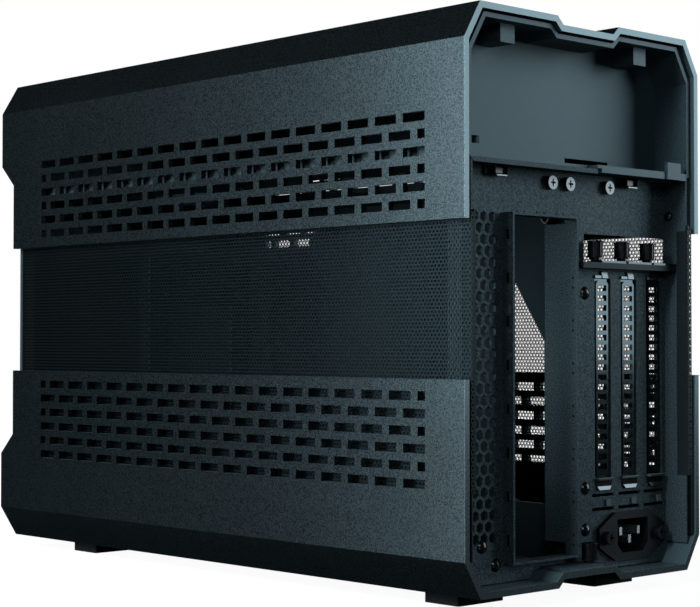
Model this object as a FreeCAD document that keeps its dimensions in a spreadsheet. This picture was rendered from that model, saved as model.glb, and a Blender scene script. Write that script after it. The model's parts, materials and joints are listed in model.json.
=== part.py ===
import FreeCAD, Part
import math
import os
import re
import Sketcher

# Mini-ITX computer case, millimetres, +Z up.
# Origin on the floor under the middle of the case, the rear towards +Y, the board side towards +X.

SIZES = {
    # Outside of the case
    "case_wide": 172.0,
    "case_deep": 371.0,
    "foot_tall": 6.8,
    "shell_tall": 96.7,
    "band_tall": 70.8,
    "shell_wall": 3.0,
    "bevel_wide": 10.3,
    "bevel_tall": 17.0,
    "groove_mouth": 45.3,
    "groove_floor": 37.0,
    "groove_deep": 3.95,
    "nose_deep": 12.2,
    "nose_tall": 48.2,
    "nose_slope": 11.5,
    # Brick pattern of slots in the shells' sides
    "slot_long": 13.8,
    "slot_tall": 4.3,
    "slot_pitch": 18.23,
    "slot_row": 7.9,
    "slot_edge": 7.6,
    "slot_pairs": 3,
    "vent_rear": 24.2,
    "vent_front": 41.0,
    # Feet
    "foot_wide": 31.0,
    "foot_long": 22.0,
    "foot_side": 22.0,
    "foot_rear": 24.5,
    "foot_front": 42.5,
    "foot_round": 1.5,
    # Sheet, clearances and how far a cutter runs past what it cuts
    "sheet_steel": 1.2,
    "fit_gap": 0.4,
    "pin_gap": 0.1,
    "cut_margin": 1.0,
    # Mesh side panels
    "mesh_inset": 4.8,
    "mesh_sheet": 1.2,
    "mesh_lip": 3.0,
    "mesh_rear": 0.7,
    "mesh_top": 4.2,
    "mesh_columns": 12,
    "mesh_column": 28.8,
    "mesh_rows": 7,
    "mesh_row": 17.0,
    "mesh_open_long": 22.0,
    "mesh_open_tall": 12.4,
    "mesh_open_front": 8.0,
    "mesh_open_rise": 50.2,
    # Rear plate and its side flanges
    "rear_inset": 15.0,
    "flange_deep": 7.3,
    "ear_deep": 12.8,
    "ear_low": 46.5,
    "ear_high": 25.0,
    # Board opening in the rear plate, with its collar
    "io_wide": 44.45,
    "io_tall": 158.75,
    "io_side": 1.4,
    "io_rise": 12.8,
    "io_collar": 6.2,
    "io_well": 13.7,
    # Hexagon vents beside the board opening
    "hex_flat": 4.5,
    "hex_pitch": 5.74,
    "hex_row": 5.22,
    "hex_gap": 8.45,
    "hex_drop": 1.25,
    "hex_columns": 3,
    "hex_rows": 15,
    # Card slots, their covers, shelf and screws
    "card_pitch": 20.32,
    "card_side": 10.6,
    "card_wide": 12.4,
    "card_tall": 97.0,
    "card_rise": 47.0,
    "cover_wide": 18.4,
    "cover_sheet": 1.0,
    "cover_rib": 0.9,
    "cover_rib_wide": 9.2,
    "cover_rib_cut": 1.5,
    "cover_rib_end": 1.0,
    "tongue_wide": 10.0,
    "tongue_tall": 7.5,
    "tongue_drop": 4.0,
    "tongue_gap": 3.5,
    "hole_wide": 6.6,
    "hole_tall": 2.8,
    "hole_pitch": 4.81,
    "hole_count": 19,
    "hole_drop": 4.6,
    "shelf_rise": 7.4,
    "shelf_deep": 7.3,
    "shelf_lip": 2.8,
    "shelf_side": 23.4,
    "window_tall": 13.9,
    "window_side": 14.3,
    "louvre_wide": 16.9,
    "louvre_tall": 1.7,
    "louvre_drop": 8.0,
    "louvre_gap": 6.7,
    # Thumbscrews, cross-head screws and rivets
    "thumb_radius": 3.65,
    "thumb_tall": 7.4,
    "thumb_neck": 2.6,
    "thumb_rise": 2.0,
    "thumb_thread": 1.7,
    "thumb_set": 3.7,
    "thumb_side": 10.0,
    "screw_radius": 3.3,
    "screw_tall": 2.6,
    "screw_thread": 1.5,
    "screw_long": 5.5,
    "screw_drop": 5.8,
    "screw_left": 11.5,
    "screw_middle": 1.4,
    "screw_right": 31.2,
    "cross_long": 3.6,
    "cross_wide": 0.9,
    "cross_deep": 1.2,
    "rivet_radius": 3.2,
    "rivet_tall": 1.8,
    "rivet_shank": 1.4,
    "rivet_side": 13.6,
    "rivet_drop": 7.3,
    "rivet_lift": 4.6,
    "rivet_outer": 15.6,
    "rivet_inner": 6.4,
    # Power inlet
    "inlet_wide": 51.5,
    "inlet_tall": 23.4,
    "inlet_flat": 27.0,
    "inlet_end": 9.0,
    "inlet_thick": 2.2,
    "inlet_body_wide": 27.2,
    "inlet_body_tall": 19.8,
    "inlet_deep": 20.0,
    "socket_wide": 24.0,
    "socket_tall": 16.4,
    "socket_deep": 15.0,
    "socket_corner": 4.0,
    "inlet_pitch": 40.0,
    "blade_wide": 2.0,
    "blade_tall": 4.0,
    "blade_long": 13.0,
    "blade_pitch": 7.0,
    "blade_lift": 4.0,
    # Base pan, with the strip that the base thumbscrew holds
    "strip_wide": 32.0,
    "strip_rear": 4.5,
    "strip_screw": 11.0,
    "strip_screw_rear": 9.5,
    # Radiator bracket over the chassis
    "bracket_rise": 26.6,
    "rail_tall": 10.0,
    "rail_set": 4.0,
    "ledge_rear": 2.1,
    "ledge_lip": 2.2,
    "ledge_end": 9.0,
    "ledge_short": 5.5,
    "apron_tall": 10.0,
    "apron_wide": 120.0,
    "hook_wide": 11.0,
    "hook_tall": 4.4,
    "hook_left": 52.0,
    "hook_right": 46.8,
    "fan_radius": 56.0,
    "fan_pitch": 120.0,
    "fan_hole": 2.2,
    "fan_spacing": 105.0,
    # Plastic bay in the rear of the top shell
    "bay_rear": 2.0,
    "bay_deep": 19.8,
    "bay_wall": 2.2,
    "bay_floor": 1.6,
    "bay_side": 1.5,
    "bay_bevel": 3.0,
    "bay_top": 1.0,
    "bay_lip": 1.9,
    "bay_lip_deep": 2.2,
    "bay_lip_side": 12.0,
    "bay_set": 5.5,
    "boss_wide": 9.6,
    "boss_side": 48.8,
    "boss_tall": 8.6,
    "boss_rear": 7.8,
    "rib_tall": 35.0,
    "rib_rise": 8.0,
    "rib_long": 6.0,
    "clip_wide": 10.7,
    "clip_side": 67.8,
    "clip_tall": 8.3,
    "clip_thick": 1.8,
    "bay_slot_wide": 33.0,
    "bay_slot_tall": 3.0,
    "bay_slot_side": 24.5,
    "bay_slot_rise": 1.6,
    "bay_notch_wide": 5.5,
    "bay_notch_tall": 3.6,
    "bay_notch_side": 55.5,
    "bay_notch_rise": 7.0,
    # Front of the case
    "front_wall": 2.5,
    "front_window": 120.0,
    "front_window_tall": 95.0,
    "front_window_rise": 88.0,
    # Board tray and the board's standoffs
    "tray_set": 5.1,
    "tray_foot": 6.5,
    "spine_tall": 158.5,
    "board_size": 170.0,
    "board_rear": 1.3,
    "board_rise": 8.7,
    "board_margin": 12.0,
    "board_hole_rear": 10.16,
    "board_hole_low": 6.35,
    "board_span_deep": 154.94,
    "board_span_tall": 157.48,
    "standoff_radius": 2.6,
    "standoff_bore": 1.5,
    "standoff_tall": 6.35,
    "tray_window_rear": 18.5,
    "tray_window_long": 27.0,
    "tray_window_rise": 35.0,
    "tray_window_tall": 110.0,
    "tray_window_cut": 20.0,
    "tray_window_drop": 31.0,
    # Power supply bracket
    "psu_front": 118.0,
    "psu_plate_wide": 70.0,
    "psu_plate_tall": 150.0,
    "psu_side": 3.0,
    "psu_span_wide": 51.5,
    "psu_span_tall": 113.0,
    "psu_hole": 1.75,
    "psu_open_wide": 44.0,
    "psu_open_tall": 100.0,
    "psu_foot": 12.0,
    # Riser on the card side
    "riser_set": 2.0,
    "riser_wide": 19.0,
    "riser_long": 96.0,
    "riser_tall": 23.0,
    "riser_rear": 60.0,
    "riser_board": 1.6,
    "riser_socket_wide": 7.6,
    "riser_socket_long": 89.0,
    "riser_socket_tall": 11.0,
    "riser_slit": 1.8,
    "riser_slit_long": 85.0,
    "riser_slit_deep": 8.0,
    # Front port board, sockets, switch and power button
    "port_rise": 33.0,
    "port_board_set": 7.5,
    "port_board_wide": 64.0,
    "port_board_tall": 22.0,
    "port_board_side": 38.0,
    "port_spacer": 2.5,
    "port_spacer_span": 56.0,
    "usb_side": 37.0,
    "usb_wide": 14.4,
    "usb_tall": 7.0,
    "usb_shell": 0.6,
    "usb_tongue": 2.0,
    "usb_deep": 10.0,
    "type_side": 19.0,
    "type_wide": 9.0,
    "type_tall": 3.3,
    "type_shell": 0.4,
    "type_deep": 6.0,
    "button_side": 56.0,
    "button_radius": 6.0,
    "button_proud": 1.3,
    "button_gap": 0.3,
    "button_flange": 7.2,
    "button_flange_thick": 0.8,
    "button_stem": 5.0,
    "button_travel": 1.0,
    "switch_wide": 6.0,
}

doc = FreeCAD.newDocument("computer_case")
sheet = doc.addObject("Spreadsheet::Sheet", "Sizes")
for row, (alias, value) in enumerate(SIZES.items(), 1):
    sheet.set(f"A{row}", alias.replace("_", " "))
    sheet.set(f"B{row}", str(value))
    sheet.setAlias(f"B{row}", alias)
doc.recompute()

# Places that many pieces share, as expressions of the sheet's sizes
HALF = "case_wide / 2"
REAR = "case_deep / 2"
FRONT = "-case_deep / 2"
LOW_EDGE = "(foot_tall + shell_tall)"
HIGH_EDGE = "(foot_tall + shell_tall + band_tall)"
TOP = "(foot_tall + 2 * shell_tall + band_tall)"
CHASSIS = "(case_wide / 2 - mesh_inset - mesh_sheet - fit_gap)"
PAN = "(foot_tall + groove_deep + shell_wall)"
PAN_TOP = f"({PAN} + sheet_steel)"
PLATE = "(case_deep / 2 - rear_inset)"
PLATE_IN = f"({PLATE} - sheet_steel)"
BRACKET = f"({HIGH_EDGE} + bracket_rise)"
BRACKET_TOP = f"({BRACKET} + sheet_steel)"
BAY_LOW = f"({BRACKET_TOP} + fit_gap)"
BAY_REAR = f"({REAR} - bay_rear)"
NOSE = f"({FRONT} + nose_deep)"
NOSE_IN = f"({NOSE} + front_wall)"
MESH_FRONT = f"({NOSE_IN} + fit_gap)"
FRONT_PLATE = f"({MESH_FRONT} + mesh_sheet + fit_gap)"
FRONT_PLATE_IN = f"({FRONT_PLATE} + sheet_steel)"
IO_LEFT = "(io_wide - io_side)"
IO_RIGHT = "-io_side"
IO_LOW = "(foot_tall + io_rise)"
IO_HIGH = "(foot_tall + io_rise + io_tall)"
CARD_LOW = "(foot_tall + card_rise)"
CARD_HIGH = "(foot_tall + card_rise + card_tall)"
CARDS = [f"-({CHASSIS} - card_side - {place} * card_pitch)" for place in (2, 1, 0)]
SHELF = f"({CARD_HIGH} + shelf_rise)"
INLET_X = CARDS[1]
INLET_Z = f"({PAN_TOP} + fit_gap + inlet_body_tall / 2)"
TRAY = "-(io_side + tray_set)"
BOARD_REAR = f"({PLATE_IN} - board_rear)"
BOARD_LOW = "(foot_tall + board_rise)"
PORT_Z = "(foot_tall + port_rise)"
PORT_BOARD = f"({FRONT_PLATE_IN} + port_board_set)"
STRIP_SCREW_Y = f"({REAR} - strip_screw_rear)"
BEVEL_SLOPE = "(bevel_tall / bevel_wide)"
GROOVE_TURN = "tan(atan(2 * groove_deep / (groove_mouth - groove_floor)) / 2)"

nodes = []


def bound(text):
    """An expression with every size's name pointed at the sheet."""
    return re.sub(r"[a-z_]+", lambda word: "Sizes." + word[0] if word[0] in SIZES else word[0], text)


def finish(item, label):
    """Names a sub-part and puts it on the list of files to write."""
    item.Label = label
    nodes.append(item)
    return item


def rect(low_across, high_across, low_up, high_up):
    """The four corners of a rectangle in a sketch."""
    return [(low_across, low_up), (high_across, low_up), (high_across, high_up), (low_across, high_up)]


def new_body(name):
    """An empty solid body."""
    return doc.addObject("PartDesign::Body", name + "_body")


def new_sketch(body, name, plane, offset):
    """A sketch on one of the body's own origin planes, moved along that plane's normal."""
    sketch = body.newObject("Sketcher::SketchObject", name + "_sketch")
    support = next(item for item in body.Origin.OriginFeatures if item.Role == plane + "_Plane")
    sketch.AttachmentSupport = (support, [""])
    sketch.MapMode = "FlatFace"
    sketch.setExpression("AttachmentOffset.Base.z", bound(offset))
    return sketch


def bind_point(sketch, edge, corner, start, place):
    """Ties a sketch point to two expressions, measured from the sketch's origin."""
    for kind, value, text in (("DistanceX", start.x, place[0]), ("DistanceY", start.y, place[1])):
        number = sketch.addConstraint(Sketcher.Constraint(kind, edge, corner, value))
        sketch.setExpression(f"Constraints[{number}]", bound(text))


def draw_outline(sketch, points):
    """A closed outline of straight lines through the points."""
    count = len(points)
    first = sketch.GeometryCount
    turns = [2 * math.pi * step / count for step in range(count)]
    start = [FreeCAD.Vector(50 * math.cos(turn), 50 * math.sin(turn), 0) for turn in turns]
    for step in range(count):
        sketch.addGeometry(Part.LineSegment(start[step], start[(step + 1) % count]), False)
    for step in range(count):
        link = Sketcher.Constraint("Coincident", first + step, 2, first + (step + 1) % count, 1)
        sketch.addConstraint(link)
    for step in range(count):
        bind_point(sketch, first + step, 1, start[step], points[step])


def draw_circle(sketch, centre, radius):
    """A circle whose centre and radius are bound."""
    start = FreeCAD.Vector(20, 20, 0)
    edge = sketch.addGeometry(Part.Circle(start, FreeCAD.Vector(0, 0, 1), 5), False)
    number = sketch.addConstraint(Sketcher.Constraint("Radius", edge, 5))
    sketch.setExpression(f"Constraints[{number}]", bound(radius))
    bind_point(sketch, edge, 3, start, centre)


def add(body, name, plane, outlines, low, high):
    """Pads outlines from one place to another along the plane's axis."""
    start = f"-({high})" if plane == "XZ" else low
    sketch = new_sketch(body, name, plane, start)
    for outline in outlines:
        draw_outline(sketch, outline)
    pad = body.newObject("PartDesign::Pad", name)
    pad.Profile = sketch
    pad.setExpression("Length", bound(f"({high}) - ({low})"))
    return pad


def cut(body, name, plane, low, high, outlines=(), circles=(), radius="0"):
    """Pockets outlines and circles from one place to another along the plane's axis."""
    start = f"-({low})" if plane == "XZ" else high
    sketch = new_sketch(body, name, plane, start)
    for outline in outlines:
        draw_outline(sketch, outline)
    for centre in circles:
        draw_circle(sketch, centre, radius)
    pocket = body.newObject("PartDesign::Pocket", name)
    pocket.Profile = sketch
    pocket.setExpression("Length", bound(f"({high}) - ({low})"))
    return pocket


def repeat(body, feature, across, up):
    """Repeats a pocket over a grid; each direction is a count and a spacing."""
    pattern = body.newObject("PartDesign::LinearPattern", feature.Name + "_grid")
    pattern.Originals = [feature]
    sketch = feature.Profile[0]
    pattern.Direction = (sketch, ["H_Axis"])
    pattern.Mode = "Extent"
    pattern.setExpression("Length", bound(f"({across[0]} - 1) * ({across[1]})"))
    pattern.setExpression("Occurrences", bound(across[0]))
    pattern.Direction2 = (sketch, ["V_Axis"])
    pattern.Mode2 = "Extent"
    pattern.setExpression("Length2", bound(f"({up[0]} - 1) * ({up[1]})"))
    pattern.setExpression("Occurrences2", bound(up[0]))
    body.Tip = pattern
    return pattern


def block(name, across, along, up):
    """A box between three pairs of places."""
    box = doc.addObject("Part::Box", name)
    for (low, high), size, axis in zip((across, along, up), ("Length", "Width", "Height"), "xyz"):
        box.setExpression(size, bound(f"({high}) - ({low})"))
        box.setExpression(f"Placement.Base.{axis}", bound(low))
    return box


TURNS = {
    "x": FreeCAD.Rotation(FreeCAD.Vector(0, 1, 0), 90),
    "y": FreeCAD.Rotation(FreeCAD.Vector(1, 0, 0), -90),
    "z": FreeCAD.Rotation(),
}


def rod(name, axis, centre, span, radius):
    """A round bar along an axis, from one place to another."""
    bar = doc.addObject("Part::Cylinder", name)
    bar.Placement = FreeCAD.Placement(FreeCAD.Vector(), TURNS[axis])
    bar.setExpression("Radius", bound(radius))
    bar.setExpression("Height", bound(f"({span[1]}) - ({span[0]})"))
    for place, text in centre.items():
        bar.setExpression(f"Placement.Base.{place}", bound(text))
    bar.setExpression(f"Placement.Base.{axis}", bound(span[0]))
    return bar


def join(name, pieces):
    """Several shapes fused to one solid."""
    fused = doc.addObject("Part::MultiFuse", name)
    fused.Shapes = pieces
    return fused


def carve(name, base, tool):
    """One shape cut out of another."""
    carved = doc.addObject("Part::Cut", name)
    carved.Base = base
    carved.Tool = tool
    return carved


def gather(name, pieces):
    """Separate solids kept together as one group."""
    group = doc.addObject("Part::Compound", name)
    group.Links = pieces
    return group


def dome(name, axis, centre, base):
    """The round head of a rivet, standing on a face."""
    bulge = "((rivet_radius ^ 2 + rivet_tall ^ 2) / (2 * rivet_tall))"
    head = doc.addObject("Part::Sphere", name)
    head.Placement = FreeCAD.Placement(FreeCAD.Vector(), TURNS[axis])
    head.setExpression("Radius", bound(bulge))
    head.setExpression("Angle1", bound(f"asin(({bulge} - rivet_tall) / {bulge})"))
    for place, text in centre.items():
        head.setExpression(f"Placement.Base.{place}", bound(text))
    head.setExpression(f"Placement.Base.{axis}", bound(f"{base} - ({bulge} - rivet_tall)"))
    return head


def bevel_depth(across, inward):
    """Depth under a shell's flat face where its long bevel, moved inward, meets a place across."""
    lean = f"sqrt(1 + {BEVEL_SLOPE} ^ 2)"
    return f"({BEVEL_SLOPE} * ({across} - case_wide / 2 + bevel_wide) + ({inward}) * {lean})"


def bevel_across(depth, inward):
    """Place across where a shell's long bevel, moved inward, meets a depth under the flat face."""
    lean = f"sqrt(1 + {BEVEL_SLOPE} ^ 2)"
    return f"(case_wide / 2 - bevel_wide + ({depth} - ({inward}) * {lean}) / {BEVEL_SLOPE})"


def shell_line(side, bevel, flat):
    """One side of the shell's section moved inward: pairs of place across and depth under the flat."""
    across = f"(case_wide / 2 - ({side}))"
    return [
        (across, bevel_depth(across, bevel)),
        (bevel_across(f"({flat})", bevel), f"({flat})"),
        (f"(groove_mouth / 2 + ({flat}) * {GROOVE_TURN})", f"({flat})"),
        (f"(groove_floor / 2 + ({flat}) * {GROOVE_TURN})", f"(groove_deep + {flat})"),
    ]


def both_sides(line, flat_face, inward):
    """Mirrors a section line about the middle and gives it heights."""
    right = [(across, f"{flat_face} {inward} {depth}") for across, depth in line]
    left = [(f"-{across}", height) for across, height in reversed(right)]
    return right + left


def build_shell(label, flat_face, edge, inward):
    """A folded aluminium shell with a grooved flat face, stepped nose and slotted sides."""
    outward = "-" if inward == "+" else "+"
    body = new_body(label)
    outer = both_sides(shell_line("0", "0", "0"), flat_face, inward)
    inner = both_sides(shell_line("shell_wall", "shell_wall", "shell_wall"), flat_face, inward)
    inner.reverse()
    wall = [(HALF, edge)] + outer + [(f"-{HALF}", edge)]
    wall += [(f"-({HALF} - shell_wall)", edge)] + inner + [(f"{HALF} - shell_wall", edge)]
    add(body, label + "_fold", "XZ", [wall], FRONT, REAR)
    past_edge = f"{edge} {inward} cut_margin"
    past_front = f"{FRONT} - cut_margin"
    nose = [
        (past_front, past_edge),
        (NOSE, past_edge),
        (NOSE, f"{flat_face} {inward} (nose_tall + nose_slope)"),
        (f"{FRONT}", f"{flat_face} {inward} nose_tall"),
        (past_front, f"{flat_face} {inward} nose_tall"),
    ]
    through = (f"-{HALF} - cut_margin", f"{HALF} + cut_margin")
    cut(body, label + "_nose", "YZ", *through, [nose])
    count = "(floor((case_deep - vent_rear - vent_front - slot_long) / slot_pitch) + 1)"
    vent_start = f"({REAR} - vent_rear - slot_long - ({count} - 1) * slot_pitch)"
    half_slot = "slot_tall / 2"
    short_slot = "(slot_long - slot_pitch / 2)"
    first_row = f"({edge} {outward} slot_edge)"
    second_row = f"({edge} {outward} (slot_edge + slot_row))"
    lowest = "- 2 * (slot_pairs - 1) * slot_row" if inward == "+" else ""
    short_row = f"({first_row} {lowest})"
    long_row = f"({second_row} {lowest})"
    rows = ("slot_pairs", "2 * slot_row")
    long_slot = rect(vent_start, f"{vent_start} + slot_long",
                     f"{long_row} - {half_slot}", f"{long_row} + {half_slot}")
    feature = cut(body, label + "_long_row", "YZ", *through, [long_slot])
    repeat(body, feature, (count, "slot_pitch"), rows)
    second_start = f"{vent_start} + slot_pitch / 2"
    between = rect(second_start, f"{second_start} + slot_long",
                   f"{short_row} - {half_slot}", f"{short_row} + {half_slot}")
    feature = cut(body, label + "_short_row", "YZ", *through, [between])
    repeat(body, feature, (f"({count} - 1)", "slot_pitch"), rows)
    end_slot = rect(vent_start, f"{vent_start} + {short_slot}",
                    f"{short_row} - {half_slot}", f"{short_row} + {half_slot}")
    feature = cut(body, label + "_row_end", "YZ", *through, [end_slot])
    last_step = f"(({count} - 1) * slot_pitch + slot_long - {short_slot})"
    repeat(body, feature, ("2", last_step), rows)
    return body


def build_shells():
    """The top shell, and the bottom shell with the base thumbscrew's hole in its groove."""
    finish(build_shell("top_shell", TOP, HIGH_EDGE, "-"), "top_shell")
    bottom = build_shell("bottom_shell", "foot_tall", LOW_EDGE, "+")
    hole = [("-strip_screw", STRIP_SCREW_Y)]
    cut(bottom, "bottom_screw_hole", "XY", "foot_tall", PAN, circles=hole, radius="thumb_thread + pin_gap")
    finish(bottom, "bottom_shell")


def build_feet():
    """Four rubber blocks with rounded corners under the bottom shell."""
    places = {
        "front": f"{FRONT} + foot_front",
        "rear": f"{REAR} - foot_rear - foot_long",
    }
    sides = {
        "left": f"{HALF} - foot_side - foot_wide",
        "right": f"-({HALF} - foot_side)",
    }
    for end, along in places.items():
        for side, across in sides.items():
            label = f"foot_{end}_{side}"
            pad = block(label + "_block", (across, f"{across} + foot_wide"),
                        (along, f"{along} + foot_long"), ("0", "foot_tall"))
            doc.recompute()
            rounded = doc.addObject("Part::Fillet", label)
            rounded.Base = pad
            radius = float(sheet.get("foot_round"))
            upright = [
                (number, radius, radius)
                for number, edge in enumerate(pad.Shape.Edges, 1)
                if abs(edge.tangentAt(edge.FirstParameter).z) > 0.5
            ]
            rounded.Edges = upright
            finish(rounded, label)


def plate_outline(half, top, notch):
    """Outline of an upright end plate that stands in the bottom shell."""
    inward = "(shell_wall + fit_gap)"
    low = f"(foot_tall + {inward})"
    side = f"(foot_tall + {bevel_depth(half, inward)})"
    corner = bevel_across(inward, inward)
    mouth = "(groove_mouth / 2 + shell_wall)"
    floor = "(groove_floor / 2 + shell_wall)"
    right = [(half, top), (half, side), (corner, low), (mouth, low), (floor, notch)]
    left = [(f"-{across}", height) for across, height in reversed(right)]
    return right + left


def build_base_pan():
    """The chassis floor, with a strip that runs out under the rear plate."""
    body = new_body("base_pan")
    half = f"({HALF} - bevel_wide - shell_wall / 2)"
    strip = "strip_wide / 2"
    outline = [
        (half, FRONT_PLATE_IN), (half, PLATE_IN), (strip, PLATE_IN), (strip, f"{REAR} - strip_rear"),
        (f"-{strip}", f"{REAR} - strip_rear"), (f"-{strip}", PLATE_IN), (f"-{half}", PLATE_IN),
        (f"-{half}", FRONT_PLATE_IN),
    ]
    add(body, "pan_floor", "XY", [outline], PAN, PAN_TOP)
    hole = [("-strip_screw", STRIP_SCREW_Y)]
    cut(body, "pan_screw_hole", "XY", PAN, PAN_TOP, circles=hole, radius="thumb_thread + pin_gap")
    finish(body, "base_pan")


REAR_SCREWS = [(x, f"{BRACKET} - screw_drop") for x in ("screw_left", "-screw_middle", "-screw_right")]
PLATE_RIVETS = [
    (f"({CARDS[0]} + rivet_side)", f"{CARD_HIGH} - rivet_drop"),
    (f"({CARDS[0]} + rivet_side)", f"{CARD_LOW} - tongue_drop"),
    (f"({CARDS[0]} + rivet_side)", f"{INLET_Z} + rivet_lift"),
    (f"({IO_LEFT} + rivet_outer)", f"{IO_LOW} + rivet_outer / 2"),
    (f"({IO_LEFT} + rivet_inner)", f"{IO_LOW} - sheet_steel"),
]
INLET_SCREWS = [(f"({INLET_X} + inlet_pitch / 2)", INLET_Z), (f"({INLET_X} - inlet_pitch / 2)", INLET_Z)]


def hexagon(across, up):
    """A hexagon that stands on its point."""
    half = "hex_flat / 2"
    reach = "hex_flat / sqrt(3)"
    return [
        (across, f"{up} + {reach}"), (f"{across} + {half}", f"{up} + {reach} / 2"),
        (f"{across} + {half}", f"{up} - {reach} / 2"), (across, f"{up} - {reach}"),
        (f"{across} - {half}", f"{up} - {reach} / 2"), (f"{across} - {half}", f"{up} + {reach} / 2"),
    ]


def build_rear_plate():
    """The steel rear plate: flanges, board opening with collar, hexagon vents, card slots, inlet."""
    body = new_body("rear_plate")
    plate_top = f"({BRACKET} - fit_gap)"
    notch = f"({PAN_TOP} + fit_gap)"
    add(body, "plate_sheet", "XZ", [plate_outline(CHASSIS, plate_top, notch)], PLATE_IN, PLATE)
    flange_low = f"(foot_tall + {bevel_depth(CHASSIS, '(shell_wall + fit_gap)')})"
    ear = f"({PLATE} + ear_deep)"
    narrow = f"({PLATE} + flange_deep)"
    flange = [
        (PLATE_IN, flange_low), (ear, flange_low), (ear, "foot_tall + ear_low"),
        (narrow, "foot_tall + ear_low"), (narrow, f"{plate_top} - ear_high"),
        (ear, f"{plate_top} - ear_high"), (ear, plate_top), (PLATE_IN, plate_top),
    ]
    add(body, "plate_flange_left", "YZ", [flange], f"{CHASSIS} - sheet_steel", CHASSIS)
    add(body, "plate_flange_right", "YZ", [flange], f"-{CHASSIS}", f"-{CHASSIS} + sheet_steel")
    collar = rect(f"{IO_RIGHT} - sheet_steel", f"{IO_LEFT} + sheet_steel",
                  f"{IO_LOW} - sheet_steel", f"{IO_HIGH} + sheet_steel")
    add(body, "plate_collar", "XZ", [collar], PLATE_IN, f"{PLATE} + io_collar")
    post = "(standoff_radius + fit_gap)"
    well_low = f"{BOARD_LOW} + board_hole_low + {post}"
    well_high = f"{BOARD_LOW} + board_hole_low + board_span_tall - {post}"
    well = rect(f"{IO_RIGHT} - sheet_steel", IO_RIGHT, well_low, well_high)
    add(body, "plate_well", "XZ", [well], f"{PLATE} - io_well", f"{PLATE} + io_collar")
    opening = rect(IO_RIGHT, IO_LEFT, IO_LOW, IO_HIGH)
    cut(body, "plate_io", "XZ", f"{PLATE_IN} - cut_margin", f"{PLATE} + io_collar + cut_margin", [opening])
    through = (f"{PLATE_IN} - cut_margin", f"{PLATE} + cut_margin")
    column = f"({IO_LEFT} + hex_gap)"
    low_row = f"({IO_HIGH} - hex_drop - 2 * (hex_rows - 1) * hex_row)"
    feature = cut(body, "plate_hex", "XZ", *through, [hexagon(column, low_row)])
    repeat(body, feature, ("hex_columns", "hex_pitch"), ("hex_rows", "2 * hex_row"))
    staggered = hexagon(f"({column} + hex_pitch / 2)", f"({low_row} + hex_row)")
    feature = cut(body, "plate_hex_between", "XZ", *through, [staggered])
    repeat(body, feature, ("hex_columns", "hex_pitch"), ("(hex_rows - 1)", "2 * hex_row"))
    cards = [rect(f"{x} - card_wide / 2", f"{x} + card_wide / 2", CARD_LOW, CARD_HIGH) for x in CARDS]
    tongues = [
        rect(f"{x} - tongue_wide / 2", f"{x} + tongue_wide / 2",
             f"{CARD_LOW} - tongue_drop - tongue_gap / 2", f"{CARD_LOW} - tongue_drop + tongue_gap / 2")
        for x in CARDS
    ]
    louvres = [
        rect(f"{x} - louvre_wide / 2", f"{x} + louvre_wide / 2",
             f"{CARD_LOW} - {drop} - louvre_tall / 2", f"{CARD_LOW} - {drop} + louvre_tall / 2")
        for x in CARDS
        for drop in ("louvre_drop", "louvre_drop - louvre_gap")
    ]
    window = rect(f"-{CHASSIS} + sheet_steel", f"{CARDS[0]} + window_side", SHELF, f"{SHELF} + window_tall")
    inlet = rect(f"{INLET_X} - inlet_body_wide / 2 - fit_gap", f"{INLET_X} + inlet_body_wide / 2 + fit_gap",
                 f"{INLET_Z} - inlet_body_tall / 2 - fit_gap", f"{INLET_Z} + inlet_body_tall / 2 + fit_gap")
    cut(body, "plate_slots", "XZ", *through, cards + tongues + louvres + [window, inlet])
    screw_holes = REAR_SCREWS + INLET_SCREWS
    cut(body, "plate_screw_holes", "XZ", *through, circles=screw_holes, radius="screw_thread + pin_gap")
    cut(body, "plate_rivet_holes", "XZ", *through, circles=PLATE_RIVETS, radius="rivet_shank + pin_gap")
    finish(body, "rear_plate")


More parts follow.
